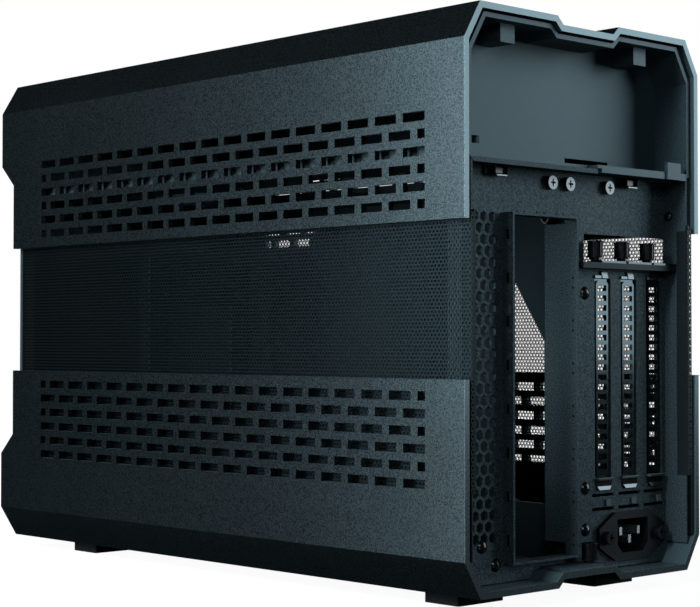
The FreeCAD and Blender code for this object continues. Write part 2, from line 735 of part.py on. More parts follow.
def build_front():
    """The inner front plate, the front panel below the bracket and the panel in the top shell."""
    plate = new_body("front_plate")
    outline = plate_outline(CHASSIS, f"({BRACKET} - fit_gap)", f"({PAN_TOP} + fit_gap)")
    add(plate, "front_sheet", "XZ", [outline], FRONT_PLATE, FRONT_PLATE_IN)
    window = rect("-front_window / 2", "front_window / 2", "foot_tall + front_window_rise",
                  "foot_tall + front_window_rise + front_window_tall")
    usb = rect("usb_side - usb_wide / 2 - fit_gap", "usb_side + usb_wide / 2 + fit_gap",
               f"{PORT_Z} - usb_tall / 2 - fit_gap", f"{PORT_Z} + usb_tall / 2 + fit_gap")
    usb_small = rect("type_side - type_wide / 2 - fit_gap", "type_side + type_wide / 2 + fit_gap",
                     f"{PORT_Z} - type_tall / 2 - fit_gap", f"{PORT_Z} + type_tall / 2 + fit_gap")
    through = (f"{FRONT_PLATE} - cut_margin", f"{FRONT_PLATE_IN} + cut_margin")
    cut(plate, "front_windows", "XZ", *through, [window, usb, usb_small])
    button = [("button_side", PORT_Z)]
    cut(plate, "front_button_hole", "XZ", *through, circles=button, radius="button_flange + fit_gap")
    finish(plate, "front_plate")

    panel = new_body("front_panel")
    half = "(case_wide / 2 - mesh_inset)"
    outline = plate_outline(half, BRACKET_TOP, f"({PAN} + fit_gap)")
    add(panel, "panel_sheet", "XZ", [outline], NOSE, NOSE_IN)
    through = (f"{NOSE} - cut_margin", f"{NOSE_IN} + cut_margin")
    cut(panel, "panel_ports", "XZ", *through, [usb, usb_small])
    cut(panel, "panel_button_hole", "XZ", *through, circles=button, radius="button_radius + button_gap")
    finish(panel, "front_panel")

    upper = new_body("top_front_panel")
    inward = "(shell_wall + fit_gap)"
    line = both_sides(shell_line(inward, inward, inward), TOP, "-")
    across = f"(case_wide / 2 - {inward})"
    outline = [(across, BAY_LOW)] + line + [(f"-{across}", BAY_LOW)]
    add(upper, "upper_sheet", "XZ", [outline], NOSE, NOSE_IN)
    finish(upper, "top_front_panel")


def build_mesh_panels():
    """The left and right mesh panels: a grid of openings, and lips folded in at both ends."""
    rear = f"({REAR} - mesh_rear)"
    outer = "(case_wide / 2 - mesh_inset)"
    inner = f"({outer} - mesh_sheet)"
    lip = f"({inner} - mesh_lip)"
    line = [
        (outer, MESH_FRONT), (outer, rear), (lip, rear), (lip, f"{rear} - mesh_sheet"),
        (inner, f"{rear} - mesh_sheet"), (inner, f"{MESH_FRONT} + mesh_sheet"),
        (lip, f"{MESH_FRONT} + mesh_sheet"), (lip, MESH_FRONT),
    ]
    first = f"({MESH_FRONT} + mesh_open_front)"
    lowest = "(foot_tall + mesh_open_rise)"
    opening = rect(first, f"{first} + mesh_open_long", lowest, f"{lowest} + mesh_open_tall")
    for label, side in (("mesh_panel_left", ""), ("mesh_panel_right", "-")):
        body = new_body(label)
        outline = [(f"{side}{across}", along) for across, along in line]
        add(body, label + "_sheet", "XY", [outline], "foot_tall + bevel_tall", f"{HIGH_EDGE} + mesh_top")
        faces = (f"{inner} - cut_margin", f"{outer} + cut_margin")
        if side:
            faces = tuple(f"-({face})" for face in reversed(faces))
        feature = cut(body, label + "_opening", "YZ", *faces, [opening])
        repeat(body, feature, ("mesh_columns", "mesh_column"), ("mesh_rows", "mesh_row"))
        finish(body, label)


def build_radiator_bracket():
    """The steel bracket over the chassis: side rails, ledge, apron for the rear screws, fan openings."""
    body = new_body("radiator_bracket")
    ledge = f"({REAR} - ledge_rear)"
    short = f"({PLATE} + ledge_short)"
    outline = [
        (CHASSIS, FRONT_PLATE), (CHASSIS, ledge), ("-ledge_end", ledge), ("-ledge_end", short),
        (f"-{CHASSIS}", short), (f"-{CHASSIS}", FRONT_PLATE),
    ]
    add(body, "bracket_sheet", "XY", [outline], BRACKET, BRACKET_TOP)
    rail = rect(f"{FRONT_PLATE} + rail_set", f"{BAY_REAR} - bay_deep - bay_wall - rail_set",
                BRACKET, f"{BRACKET_TOP} + rail_tall")
    add(body, "bracket_rail_left", "YZ", [rail], f"{CHASSIS} - sheet_steel", CHASSIS)
    add(body, "bracket_rail_right", "YZ", [rail], f"-{CHASSIS}", f"-{CHASSIS} + sheet_steel")
    lip_end = f"{CHASSIS} - sheet_steel - fit_gap"
    lip = rect("-ledge_end", lip_end, f"{BRACKET_TOP} - ledge_lip", BRACKET_TOP)
    add(body, "bracket_lip", "XZ", [lip], f"{ledge} - sheet_steel", ledge)
    apron = rect("-apron_wide / 2", "apron_wide / 2", f"{BRACKET} - apron_tall", BRACKET_TOP)
    apron_rear = f"({PLATE_IN} - pin_gap)"
    add(body, "bracket_apron", "XZ", [apron], f"{apron_rear} - sheet_steel", apron_rear)
    for name, middle in (("bracket_hook_left", "hook_left"), ("bracket_hook_right", "-hook_right")):
        hook = rect(f"{middle} - hook_wide / 2", f"{middle} + hook_wide / 2",
                    f"{BRACKET} - hook_tall", BRACKET_TOP)
        add(body, name, "XZ", [hook], f"{PLATE} + pin_gap", f"{PLATE} + pin_gap + sheet_steel")
    cut(body, "bracket_screw_holes", "XZ", f"{PLATE_IN} - 2 * sheet_steel", PLATE_IN,
        circles=REAR_SCREWS, radius="screw_thread + pin_gap")
    fans = ["fan_pitch / 2", "-fan_pitch / 2"]
    through = (f"{BRACKET} - cut_margin", f"{BRACKET_TOP} + cut_margin")
    cut(body, "bracket_fan_openings", "XY", *through, circles=[("0", y) for y in fans], radius="fan_radius")
    holes = [
        (f"{side} * fan_spacing / 2", f"{y} + {end} * fan_spacing / 2")
        for y in fans for side in ("1", "-1") for end in ("1", "-1")
    ]
    cut(body, "bracket_fan_holes", "XY", *through, circles=holes, radius="fan_hole")
    finish(body, "radiator_bracket")


def build_rear_bay():
    """The moulded bay in the rear of the top shell, open to the rear."""
    body = new_body("rear_bay")
    wall = f"({BAY_REAR} - bay_deep)"
    outsides = ("(shell_wall + bay_side)", "(shell_wall + bay_bevel)", "(shell_wall + bay_top)")
    insides = [f"({inward} + bay_wall)" for inward in outsides]
    floor = f"({BAY_LOW} + bay_floor)"
    outlines = []
    for inward, low in ((outsides, BAY_LOW), (insides, floor)):
        across = f"(case_wide / 2 - {inward[0]})"
        outlines.append([(across, low)] + both_sides(shell_line(*inward), TOP, "-") + [(f"-{across}", low)])
    add(body, "bay_box", "XZ", [outlines[0]], f"{wall} - bay_wall", BAY_REAR)
    cut(body, "bay_hollow", "XZ", wall, f"{BAY_REAR} + cut_margin", [outlines[1]])
    inside = f"(case_wide / 2 - {insides[0]})"
    set_back = rect("-ledge_end", inside, f"{BAY_LOW} - cut_margin", floor)
    cut(body, "bay_set_back", "XZ", f"{BAY_REAR} - bay_set", f"{BAY_REAR} + cut_margin", [set_back])
    slot = rect("-bay_slot_side - bay_slot_wide / 2", "-bay_slot_side + bay_slot_wide / 2",
                f"{floor} + bay_slot_rise", f"{floor} + bay_slot_rise + bay_slot_tall")
    notch = rect("bay_notch_side - bay_notch_wide / 2", "bay_notch_side + bay_notch_wide / 2",
                 f"{floor} + bay_notch_rise", f"{floor} + bay_notch_rise + bay_notch_tall")
    cut(body, "bay_slots", "XZ", f"{wall} - bay_wall - cut_margin", f"{wall} + cut_margin", [slot, notch])
    under_top = f"({TOP} - {insides[2]})"
    for name, middle in (("bay_boss_left", "boss_side"), ("bay_boss_right", "-boss_side")):
        boss = rect(f"{middle} - boss_wide / 2", f"{middle} + boss_wide / 2",
                    f"{under_top} - boss_tall", f"{under_top} + bay_wall / 2")
        add(body, name, "XZ", [boss], f"{wall} - bay_wall / 2", f"{REAR} - boss_rear")
    lip = rect(f"-{inside}", "-bay_lip_side", f"{BAY_LOW} - bay_lip", floor)
    add(body, "bay_lip", "XZ", [lip], f"{BAY_REAR} - bay_lip_deep", BAY_REAR)
    clip = rect("-clip_side - clip_wide / 2", "-clip_side + clip_wide / 2",
                f"{BAY_LOW} - bay_lip", f"{BAY_LOW} - bay_lip + clip_tall")
    add(body, "bay_clip", "XZ", [clip], f"{BAY_REAR} - clip_thick / 2", f"{BAY_REAR} + clip_thick / 2")
    rib_low = f"({floor} + rib_rise)"
    for name, side in (("bay_rib_left", ""), ("bay_rib_right", "-")):
        outer = f"{side}(case_wide / 2 - shell_wall - fit_gap)"
        root = f"{side}(case_wide / 2 - {insides[0]} + bay_wall / 2)"
        add(body, name, "XZ", [rect(outer, root, rib_low, f"{rib_low} + rib_tall")],
            wall, f"{wall} + rib_long")
    finish(body, "rear_bay_insert")


def build_card_slots():
    """Ribbed slot covers with vent holes, the shelf that they are screwed to and their thumbscrews."""
    inside = f"({PLATE_IN} - cover_sheet)"
    tab_rear = f"({PLATE} + shelf_deep)"
    screw_y = f"({PLATE} + thumb_set)"
    tip = f"({CARD_LOW} - tongue_tall)"
    for number, x in enumerate(CARDS, 1):
        label = f"slot_cover_{number}"
        body = new_body(label)
        line = [
            (inside, tip), (PLATE_IN, tip), (PLATE_IN, SHELF), (tab_rear, SHELF),
            (tab_rear, f"{SHELF} + cover_sheet"), (inside, f"{SHELF} + cover_sheet"),
        ]
        add(body, label + "_fold", "YZ", [line], f"{x} - cover_wide / 2", f"{x} + cover_wide / 2")
        past = "cover_wide / 2 + cut_margin"
        shoulders = [
            rect(f"{x} - {past}", f"{x} - tongue_wide / 2", f"{tip} - cut_margin", CARD_LOW),
            rect(f"{x} + tongue_wide / 2", f"{x} + {past}", f"{tip} - cut_margin", CARD_LOW),
        ]
        through = (f"{inside} - cut_margin", f"{PLATE_IN} + cut_margin")
        cut(body, label + "_tongue", "XZ", *through, shoulders)
        half = "cover_rib_wide / 2"
        rib_low, rib_high = f"({CARD_LOW} + cover_rib_end)", f"({CARD_HIGH} - cover_rib_end)"
        rib = [
            (f"{x} - {half}", rib_low), (f"{x} + {half}", rib_low),
            (f"{x} + {half}", f"{rib_high} - cover_rib_cut"), (f"{x} + {half} - cover_rib_cut", rib_high),
            (f"{x} - {half} + cover_rib_cut", rib_high), (f"{x} - {half}", f"{rib_high} - cover_rib_cut"),
        ]
        add(body, label + "_rib", "XZ", [rib], inside, f"{PLATE_IN} + cover_rib")
        lowest = f"({CARD_HIGH} - hole_drop - (hole_count - 1) * hole_pitch)"
        hole = rect(f"{x} - hole_wide / 2", f"{x} + hole_wide / 2",
                    f"{lowest} - hole_tall / 2", f"{lowest} + hole_tall / 2")
        feature = cut(body, label + "_vents", "XZ", *through, [hole])
        repeat(body, feature, ("1", "0"), ("hole_count", "hole_pitch"))
        notches = [(f"{x} + thumb_side", screw_y), (f"{x} + thumb_side - card_pitch", screw_y)]
        cut(body, label + "_screw_notches", "XY", SHELF, f"{SHELF} + cover_sheet",
            circles=notches, radius="thumb_thread + pin_gap")
        finish(body, label)

    shelf = new_body("slot_shelf")
    left = f"({CARDS[0]} + shelf_side)"
    right = f"(-{CHASSIS} + sheet_steel + fit_gap)"
    rear = f"({PLATE} + shelf_deep)"
    under = f"({SHELF} - sheet_steel)"
    skirt = f"({under} - 2 * sheet_steel)"
    line = [
        (PLATE, SHELF), (PLATE, skirt), (f"{PLATE} + sheet_steel", skirt),
        (f"{PLATE} + sheet_steel", under), (f"{rear} - sheet_steel", under),
        (f"{rear} - sheet_steel", f"{SHELF} - shelf_lip"), (rear, f"{SHELF} - shelf_lip"), (rear, SHELF),
    ]
    add(shelf, "shelf_fold", "YZ", [line], right, left)
    screw_places = [f"({x} + thumb_side)" for x in CARDS]
    cut(shelf, "shelf_screw_holes", "XY", under, SHELF, circles=[(x, screw_y) for x in screw_places],
        radius="thumb_thread + pin_gap")
    finish(shelf, "slot_shelf")

    seat = f"({SHELF} + cover_sheet)"
    screws = [
        thumbscrew(f"slot_thumbscrew_{number}", x, screw_y, seat, under)
        for number, x in enumerate(screw_places, 1)
    ]
    finish(gather("slot_thumbscrew_group", screws), "slot_thumbscrews")


def thumbscrew(name, x, y, seat, tip):
    """A thumbscrew that points down: head, neck and threaded end."""
    centre = {"x": x, "y": y}
    head_low = f"({seat} + thumb_rise)"
    head = rod(name + "_head", "z", centre, (head_low, f"{head_low} + thumb_tall"), "thumb_radius")
    neck = rod(name + "_neck", "z", centre, (seat, head_low), "thumb_neck")
    thread = rod(name + "_thread", "z", centre, (f"{tip} - sheet_steel", seat), "thumb_thread")
    return join(name, [head, neck, thread])


def cross_screw(name, place, face, long):
    """A cross-head screw that points inward, with its recess."""
    centre = {"x": place[0], "z": place[1]}
    front = f"({face} + screw_tall)"
    head = rod(name + "_head", "y", centre, (face, front), "screw_radius")
    thread = rod(name + "_thread", "y", centre, (f"{face} - {long}", face), "screw_thread")
    bars = []
    for bar, wide, tall in (("across", "cross_long", "cross_wide"), ("up", "cross_wide", "cross_long")):
        bars.append(block(f"{name}_{bar}", (f"{place[0]} - {wide} / 2", f"{place[0]} + {wide} / 2"),
                          (f"{front} - cross_deep", f"{front} + cut_margin"),
                          (f"{place[1]} - {tall} / 2", f"{place[1]} + {tall} / 2")))
    return carve(name, join(name + "_blank", [head, thread]), join(name + "_recess", bars))


def build_fasteners():
    """Rear screws, rivets and the thumbscrew that holds the bottom shell to the base pan."""
    screws = [
        cross_screw(f"rear_screw_{number}", place, PLATE, "screw_long")
        for number, place in enumerate(REAR_SCREWS, 1)
    ]
    finish(gather("rear_screw_group", screws), "rear_screws")
    rivets = []
    for number, (x, z) in enumerate(PLATE_RIVETS, 1):
        name = f"rivet_{number}"
        centre = {"x": x, "z": z}
        head = dome(name + "_head", "y", centre, PLATE)
        shank = rod(name + "_shank", "y", centre, (PLATE_IN, PLATE), "rivet_shank")
        rivets.append(join(name, [head, shank]))
    finish(gather("rivet_group", rivets), "chassis_rivets")
    screw = thumbscrew("base_thumbscrew_solid", "-strip_screw", STRIP_SCREW_Y, PAN_TOP, PAN)
    finish(screw, "base_thumbscrew")


def build_inlet():
    """The power inlet: flanged socket, three blades and two screws."""
    body = new_body("power_inlet")
    face = f"({PLATE} + inlet_thick)"
    ends = [("inlet_wide / 2", "inlet_end / 2"), ("inlet_flat / 2", "inlet_tall / 2")]
    flange = [(f"{INLET_X} + {x}", f"{INLET_Z} - {z}") for x, z in reversed(ends)]
    flange += [(f"{INLET_X} + {x}", f"{INLET_Z} + {z}") for x, z in ends]
    flange += [(f"{INLET_X} - {x}", f"{INLET_Z} + {z}") for x, z in reversed(ends)]
    flange += [(f"{INLET_X} - {x}", f"{INLET_Z} - {z}") for x, z in ends]
    add(body, "inlet_flange", "XZ", [flange], PLATE, face)
    shell = rect(f"{INLET_X} - inlet_body_wide / 2", f"{INLET_X} + inlet_body_wide / 2",
                 f"{INLET_Z} - inlet_body_tall / 2", f"{INLET_Z} + inlet_body_tall / 2")
    add(body, "inlet_body", "XZ", [shell], f"{PLATE} - inlet_deep", face)
    wide = "socket_wide / 2"
    tall = "socket_tall / 2"
    hollow = [
        (f"{INLET_X} - {wide}", f"{INLET_Z} + {tall}"), (f"{INLET_X} + {wide}", f"{INLET_Z} + {tall}"),
        (f"{INLET_X} + {wide}", f"{INLET_Z} - {tall} + socket_corner"),
        (f"{INLET_X} + {wide} - socket_corner", f"{INLET_Z} - {tall}"),
        (f"{INLET_X} - {wide} + socket_corner", f"{INLET_Z} - {tall}"),
        (f"{INLET_X} - {wide}", f"{INLET_Z} - {tall} + socket_corner"),
    ]
    bottom = f"({face} - socket_deep)"
    cut(body, "inlet_socket", "XZ", bottom, f"{face} + cut_margin", [hollow])
    cut(body, "inlet_screw_holes", "XZ", f"{PLATE} - cut_margin", f"{face} + cut_margin",
        circles=INLET_SCREWS, radius="screw_thread + pin_gap")
    finish(body, "power_inlet")
    blades = []
    places = (("-1", "blade_lift / 2"), ("0", "0 - blade_lift / 2"), ("1", "blade_lift / 2"))
    for step, lift in places:
        x = f"({INLET_X} + {step} * blade_pitch)"
        z = f"({INLET_Z} + {lift})"
        across = (f"{x} - blade_wide / 2", f"{x} + blade_wide / 2")
        up = (f"{z} - blade_tall / 2", f"{z} + blade_tall / 2")
        along = (bottom, f"{bottom} + blade_long")
        blades.append(block(f"inlet_blade_{len(blades) + 1}", across, along, up))
    finish(gather("inlet_blade_group", blades), "inlet_blades")
    screws = [
        cross_screw(f"inlet_screw_{number}", place, face, "screw_long")
        for number, place in enumerate(INLET_SCREWS, 1)
    ]
    finish(gather("inlet_screw_group", screws), "inlet_screws")


def build_spine():
    """The wall down the middle of the case, with the board tray, and the board's four standoffs."""
    body = new_body("spine_plate")
    back = f"({TRAY} - sheet_steel)"
    front_end = f"({BOARD_REAR} - board_size - board_margin)"
    rear_end = f"({PLATE_IN} - fit_gap)"
    nose_end = f"({FRONT_PLATE_IN} + fit_gap)"
    tray_top = f"({BOARD_LOW} + board_size + 2 * sheet_steel)"
    wall_top = f"({PAN_TOP} + spine_tall)"
    wall = [
        (nose_end, PAN_TOP), (rear_end, PAN_TOP), (rear_end, tray_top), (front_end, tray_top),
        (front_end, wall_top), (nose_end, wall_top),
    ]
    add(body, "spine_sheet", "YZ", [wall], back, TRAY)
    foot = rect(nose_end, rear_end, PAN_TOP, f"{PAN_TOP} + sheet_steel")
    add(body, "spine_foot", "YZ", [foot], f"{back} - tray_foot", TRAY)
    rear = f"({PLATE} - tray_window_rear)"
    low = "(foot_tall + tray_window_rise)"
    high = f"({low} + tray_window_tall)"
    window = [
        (f"{rear} - tray_window_long", low), (rear, low), (rear, f"{high} - tray_window_drop"),
        (f"{rear} - tray_window_cut", high), (f"{rear} - tray_window_long", high),
    ]
    cut(body, "spine_window", "YZ", f"{back} - cut_margin", f"{TRAY} + cut_margin", [window])
    finish(body, "spine_plate")
    standoffs = []
    for along in (f"{BOARD_REAR} - board_hole_rear", f"{BOARD_REAR} - board_hole_rear - board_span_deep"):
        for up in (f"{BOARD_LOW} + board_hole_low", f"{BOARD_LOW} + board_hole_low + board_span_tall"):
            name = f"standoff_{len(standoffs) + 1}"
            centre = {"y": along, "z": up}
            post = rod(name + "_post", "x", centre, (TRAY, f"{TRAY} + standoff_tall"), "standoff_radius")
            bore = rod(name + "_bore", "x", centre, (TRAY, f"{TRAY} + standoff_tall"), "standoff_bore")
            standoffs.append(carve(name, post, bore))
    finish(gather("standoff_group", standoffs), "board_standoffs")


def build_power_supply_bracket():
    """The bracket that a small power supply is screwed to."""
    body = new_body("psu_bracket")
    near = f"({NOSE} + psu_front)"
    right = f"({CHASSIS} - psu_side)"
    left = f"({right} - psu_plate_wide)"
    high = f"({PAN_TOP} + psu_plate_tall)"
    plate = rect(left, right, PAN_TOP, high)
    add(body, "psu_plate", "XZ", [plate], near, f"{near} + sheet_steel")
    bend = f"({HALF} - bevel_wide - shell_wall)"
    foot = rect(left, bend, PAN_TOP, f"{PAN_TOP} + sheet_steel")
    add(body, "psu_foot_fold", "XZ", [foot], near, f"{near} + psu_foot")
    x = f"({right} - psu_plate_wide / 2)"
    z = f"({PAN_TOP} + psu_plate_tall / 2)"
    through = (f"{near} - cut_margin", f"{near} + sheet_steel + cut_margin")
    opening = rect(f"{x} - psu_open_wide / 2", f"{x} + psu_open_wide / 2",
                   f"{z} - psu_open_tall / 2", f"{z} + psu_open_tall / 2")
    cut(body, "psu_opening", "XZ", *through, [opening])
    holes = [
        (f"{x} + {side} * psu_span_wide / 2", f"{z} + {end} * psu_span_tall / 2")
        for side in ("1", "-1") for end in ("1", "-1")
    ]
    cut(body, "psu_holes", "XZ", *through, circles=holes, radius="psu_hole")
    finish(body, "psu_bracket")


def build_riser():
    """The card's riser: a folded stand on the base pan, its board and its socket."""
    middle = f"({CARDS[0]} + riser_set)"
    rear = f"({PLATE} - riser_rear)"
    front_end = f"({rear} - riser_long)"
    top = f"({PAN_TOP} + riser_tall)"
    stand = new_body("riser_stand")
    half = "riser_wide / 2"
    line = [
        (f"{middle} - {half}", PAN_TOP), (f"{middle} - {half}", top), (f"{middle} + {half}", top),
        (f"{middle} + {half}", PAN_TOP), (f"{middle} + {half} - sheet_steel", PAN_TOP),
        (f"{middle} + {half} - sheet_steel", f"{top} - sheet_steel"),
        (f"{middle} - {half} + sheet_steel", f"{top} - sheet_steel"),
        (f"{middle} - {half} + sheet_steel", PAN_TOP),
    ]
    add(stand, "riser_fold", "XZ", [line], front_end, rear)
    finish(stand, "riser_stand")
    board_top = f"({top} + riser_board)"
    across = (f"{middle} - {half}", f"{middle} + {half}")
    board = block("riser_board_sheet", across, (front_end, rear), (top, board_top))
    finish(board, "riser_board")
    centre = f"({rear} - riser_long / 2)"
    socket_top = f"({board_top} + riser_socket_tall)"
    across = (f"{middle} - riser_socket_wide / 2", f"{middle} + riser_socket_wide / 2")
    along = (f"{centre} - riser_socket_long / 2", f"{centre} + riser_socket_long / 2")
    shell = block("riser_socket_block", across, along, (board_top, socket_top))
    across = (f"{middle} - riser_slit / 2", f"{middle} + riser_slit / 2")
    along = (f"{centre} - riser_slit_long / 2", f"{centre} + riser_slit_long / 2")
    up = (f"{socket_top} - riser_slit_deep", f"{socket_top} + cut_margin")
    slit = block("riser_socket_slit", across, along, up)
    finish(carve("riser_socket_solid", shell, slit), "riser_socket")


def port_socket(label, side, wide, tall, wall, deep):
    """A front port: a metal box, open to the front, that stands on the port board."""
    front = f"({NOSE} + button_gap)"
    shell = block(label + "_box", (f"{side} - {wide} / 2", f"{side} + {wide} / 2"), (front, PORT_BOARD),
                  (f"{PORT_Z} - {tall} / 2", f"{PORT_Z} + {tall} / 2"))
    hollow = block(label + "_hollow", (f"{side} - {wide} / 2 + {wall}", f"{side} + {wide} / 2 - {wall}"),
                   (f"{front} - cut_margin", f"{front} + {deep}"),
                   (f"{PORT_Z} - {tall} / 2 + {wall}", f"{PORT_Z} + {tall} / 2 - {wall}"))
    return carve(label + "_shell", shell, hollow)


def build_ports():
    """The front port board on its spacers, two sockets, the power switch and the power button."""
    board_rear = f"({PORT_BOARD} + riser_board)"
    board = block("port_board_sheet",
                  ("port_board_side - port_board_wide / 2", "port_board_side + port_board_wide / 2"),
                  (PORT_BOARD, board_rear),
                  (f"{PORT_Z} - port_board_tall / 2", f"{PORT_Z} + port_board_tall / 2"))
    finish(board, "port_board")
    spacers = []
    for side in ("-1", "1"):
        centre = {"x": f"port_board_side + {side} * port_spacer_span / 2",
                  "z": f"{PORT_Z} - port_board_tall / 2 + port_spacer"}
        span = (FRONT_PLATE_IN, PORT_BOARD)
        spacers.append(rod(f"port_spacer_{len(spacers) + 1}", "y", centre, span, "port_spacer"))
    finish(gather("port_spacer_group", spacers), "port_board_spacers")
    usb = port_socket("usb_wide_port", "usb_side", "usb_wide", "usb_tall", "usb_shell", "usb_deep")
    across = ("usb_side - usb_wide / 2 + 2 * usb_shell", "usb_side + usb_wide / 2 - 2 * usb_shell")
    along = (f"{NOSE} + 2 * cut_margin", f"{NOSE} + usb_deep + cut_margin")
    up = (f"{PORT_Z} + usb_shell / 2", f"{PORT_Z} + usb_shell / 2 + usb_tongue")
    tongue = block("usb_tongue_block", across, along, up)
    finish(join("usb_port_solid", [usb, tongue]), "usb_port")
    small = port_socket("type_port", "type_side", "type_wide", "type_tall", "type_shell", "type_deep")
    finish(small, "usb_small_port")

    centre = {"x": "button_side", "z": PORT_Z}
    face = f"({NOSE} - button_proud)"
    flange = f"({NOSE_IN} + button_gap)"
    flange_rear = f"({flange} + button_flange_thick)"
    stem_rear = f"({flange_rear} + button_stem)"
    cap = rod("button_cap", "y", centre, (face, flange_rear), "button_radius")
    collar = rod("button_collar", "y", centre, (flange, flange_rear), "button_flange")
    stem = rod("button_stem_bar", "y", centre, (flange_rear, stem_rear), "button_radius / 2")
    finish(join("power_button_solid", [cap, collar, stem]), "power_button")
    switch = block("power_switch_block", ("button_side - switch_wide / 2", "button_side + switch_wide / 2"),
                   (f"{stem_rear} + button_travel + button_gap", PORT_BOARD),
                   (f"{PORT_Z} - switch_wide / 2", f"{PORT_Z} + switch_wide / 2"))
    finish(switch, "power_switch")


def check_document():
    """Stops if a feature failed, a shape is broken or a pocket cut nothing."""
    for item in doc.Objects:
        if {"Invalid", "Error"} & set(item.State):
            raise RuntimeError(f"{item.Name}: {item.State}")
        if item.TypeId == "PartDesign::Pocket":
            if item.Shape.Volume >= item.BaseFeature.Shape.Volume - 1e-3:
                raise RuntimeError(f"{item.Name} cuts nothing")
    for item in nodes:
        if item.Shape.isNull() or not item.Shape.isValid():
            raise RuntimeError(f"{item.Label} has no valid shape")


def write_parts():
    """Writes one file for each sub-part."""
    os.makedirs("parts", exist_ok=True)
    for item in nodes:
        item.Shape.exportStep(f"parts/{item.Label}.step")
        print(f"{item.Label}: {len(item.Shape.Solids)} solids, {item.Shape.Volume:.0f} mm3")


build_shells()
build_feet()
build_base_pan()
build_rear_plate()
build_front()
build_mesh_panels()
build_radiator_bracket()
build_rear_bay()
build_card_slots()
build_fasteners()
build_inlet()
build_spine()
build_power_supply_bracket()
build_riser()
build_ports()
doc.recompute()
check_document()
write_parts()
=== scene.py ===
"""Looks of a small computer case: finishes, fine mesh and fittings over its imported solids. Metres, +Z up."""

import json
import logging
import math
from dataclasses import dataclass, field
from enum import Enum
from typing import Callable, Dict, List, Optional, Sequence, Tuple, Union

import bpy
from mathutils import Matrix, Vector


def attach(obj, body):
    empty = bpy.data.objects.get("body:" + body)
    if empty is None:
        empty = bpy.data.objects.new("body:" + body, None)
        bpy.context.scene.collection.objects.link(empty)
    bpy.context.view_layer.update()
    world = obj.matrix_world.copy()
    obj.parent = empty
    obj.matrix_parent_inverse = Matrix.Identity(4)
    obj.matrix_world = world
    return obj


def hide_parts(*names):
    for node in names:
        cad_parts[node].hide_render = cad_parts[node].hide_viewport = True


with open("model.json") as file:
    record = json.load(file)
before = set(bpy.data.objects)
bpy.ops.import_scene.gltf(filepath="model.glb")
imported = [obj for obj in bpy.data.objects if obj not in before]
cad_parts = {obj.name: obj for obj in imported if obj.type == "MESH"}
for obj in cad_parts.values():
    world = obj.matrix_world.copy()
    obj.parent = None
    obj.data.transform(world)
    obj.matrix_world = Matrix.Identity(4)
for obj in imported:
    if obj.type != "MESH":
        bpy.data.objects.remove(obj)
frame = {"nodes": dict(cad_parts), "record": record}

Colour = Tuple[float, float, float]
Point = Tuple[float, float, float]
Span = Tuple[float, float]
Object = bpy.types.Object
Material = bpy.types.Material
Node = bpy.types.Node
NodeTree = bpy.types.NodeTree
Socket = bpy.types.NodeSocket
Feed = Union[Socket, float, Sequence[float]]

LOG = logging.getLogger("computer_case")
MM = 0.001

# The card slots, and the rear face of the plate that they are in
CARD_X = -28.36 * MM
CARD_STEP: Point = (-20.32 * MM, 0.0, 0.0)
CARD_COUNT = 3
PLATE_Y = 170.5 * MM

# Rounded edges, with angles in degrees
ROUND_STEPS = 2
LEAST_ROUNDED = 20.0
LEAST_SHARP = 40.0

# A face looks a way where its normal has more than the first share along it, and is upright below the second
FLAT = 0.9
UPRIGHT = 0.5

# Noise in the finishes: its octaves, and the stretch of its values that is spread out
FINE_OCTAVES = 2.0
BROAD_OCTAVES = 3.0
NOISE_SPAN: Span = (0.36, 0.64)


class Way(Enum):
    """The ways along the axes, with left and right as seen from behind the case."""

    LEFT = (1.0, 0.0, 0.0)
    RIGHT = (-1.0, 0.0, 0.0)
    REAR = (0.0, 1.0, 0.0)
    FRONT = (0.0, -1.0, 0.0)
    UP = (0.0, 0.0, 1.0)
    DOWN = (0.0, 0.0, -1.0)

    @property
    def turn(self) -> Point:
        """The turn that stands a flat sheet up to look this way."""
        x, y, _ = self.value
        return (math.pi / 2, 0.0, math.atan2(x, -y))

    def step(self, length: float) -> Point:
        """A step of a given length this way, or back where the length is negative."""
        x, y, z = self.value
        return (length * x, length * y, length * z)


class Body(Enum):
    """The bodies that pieces move with."""

    CHASSIS = "chassis"
    TOP_COVER = "top_cover"


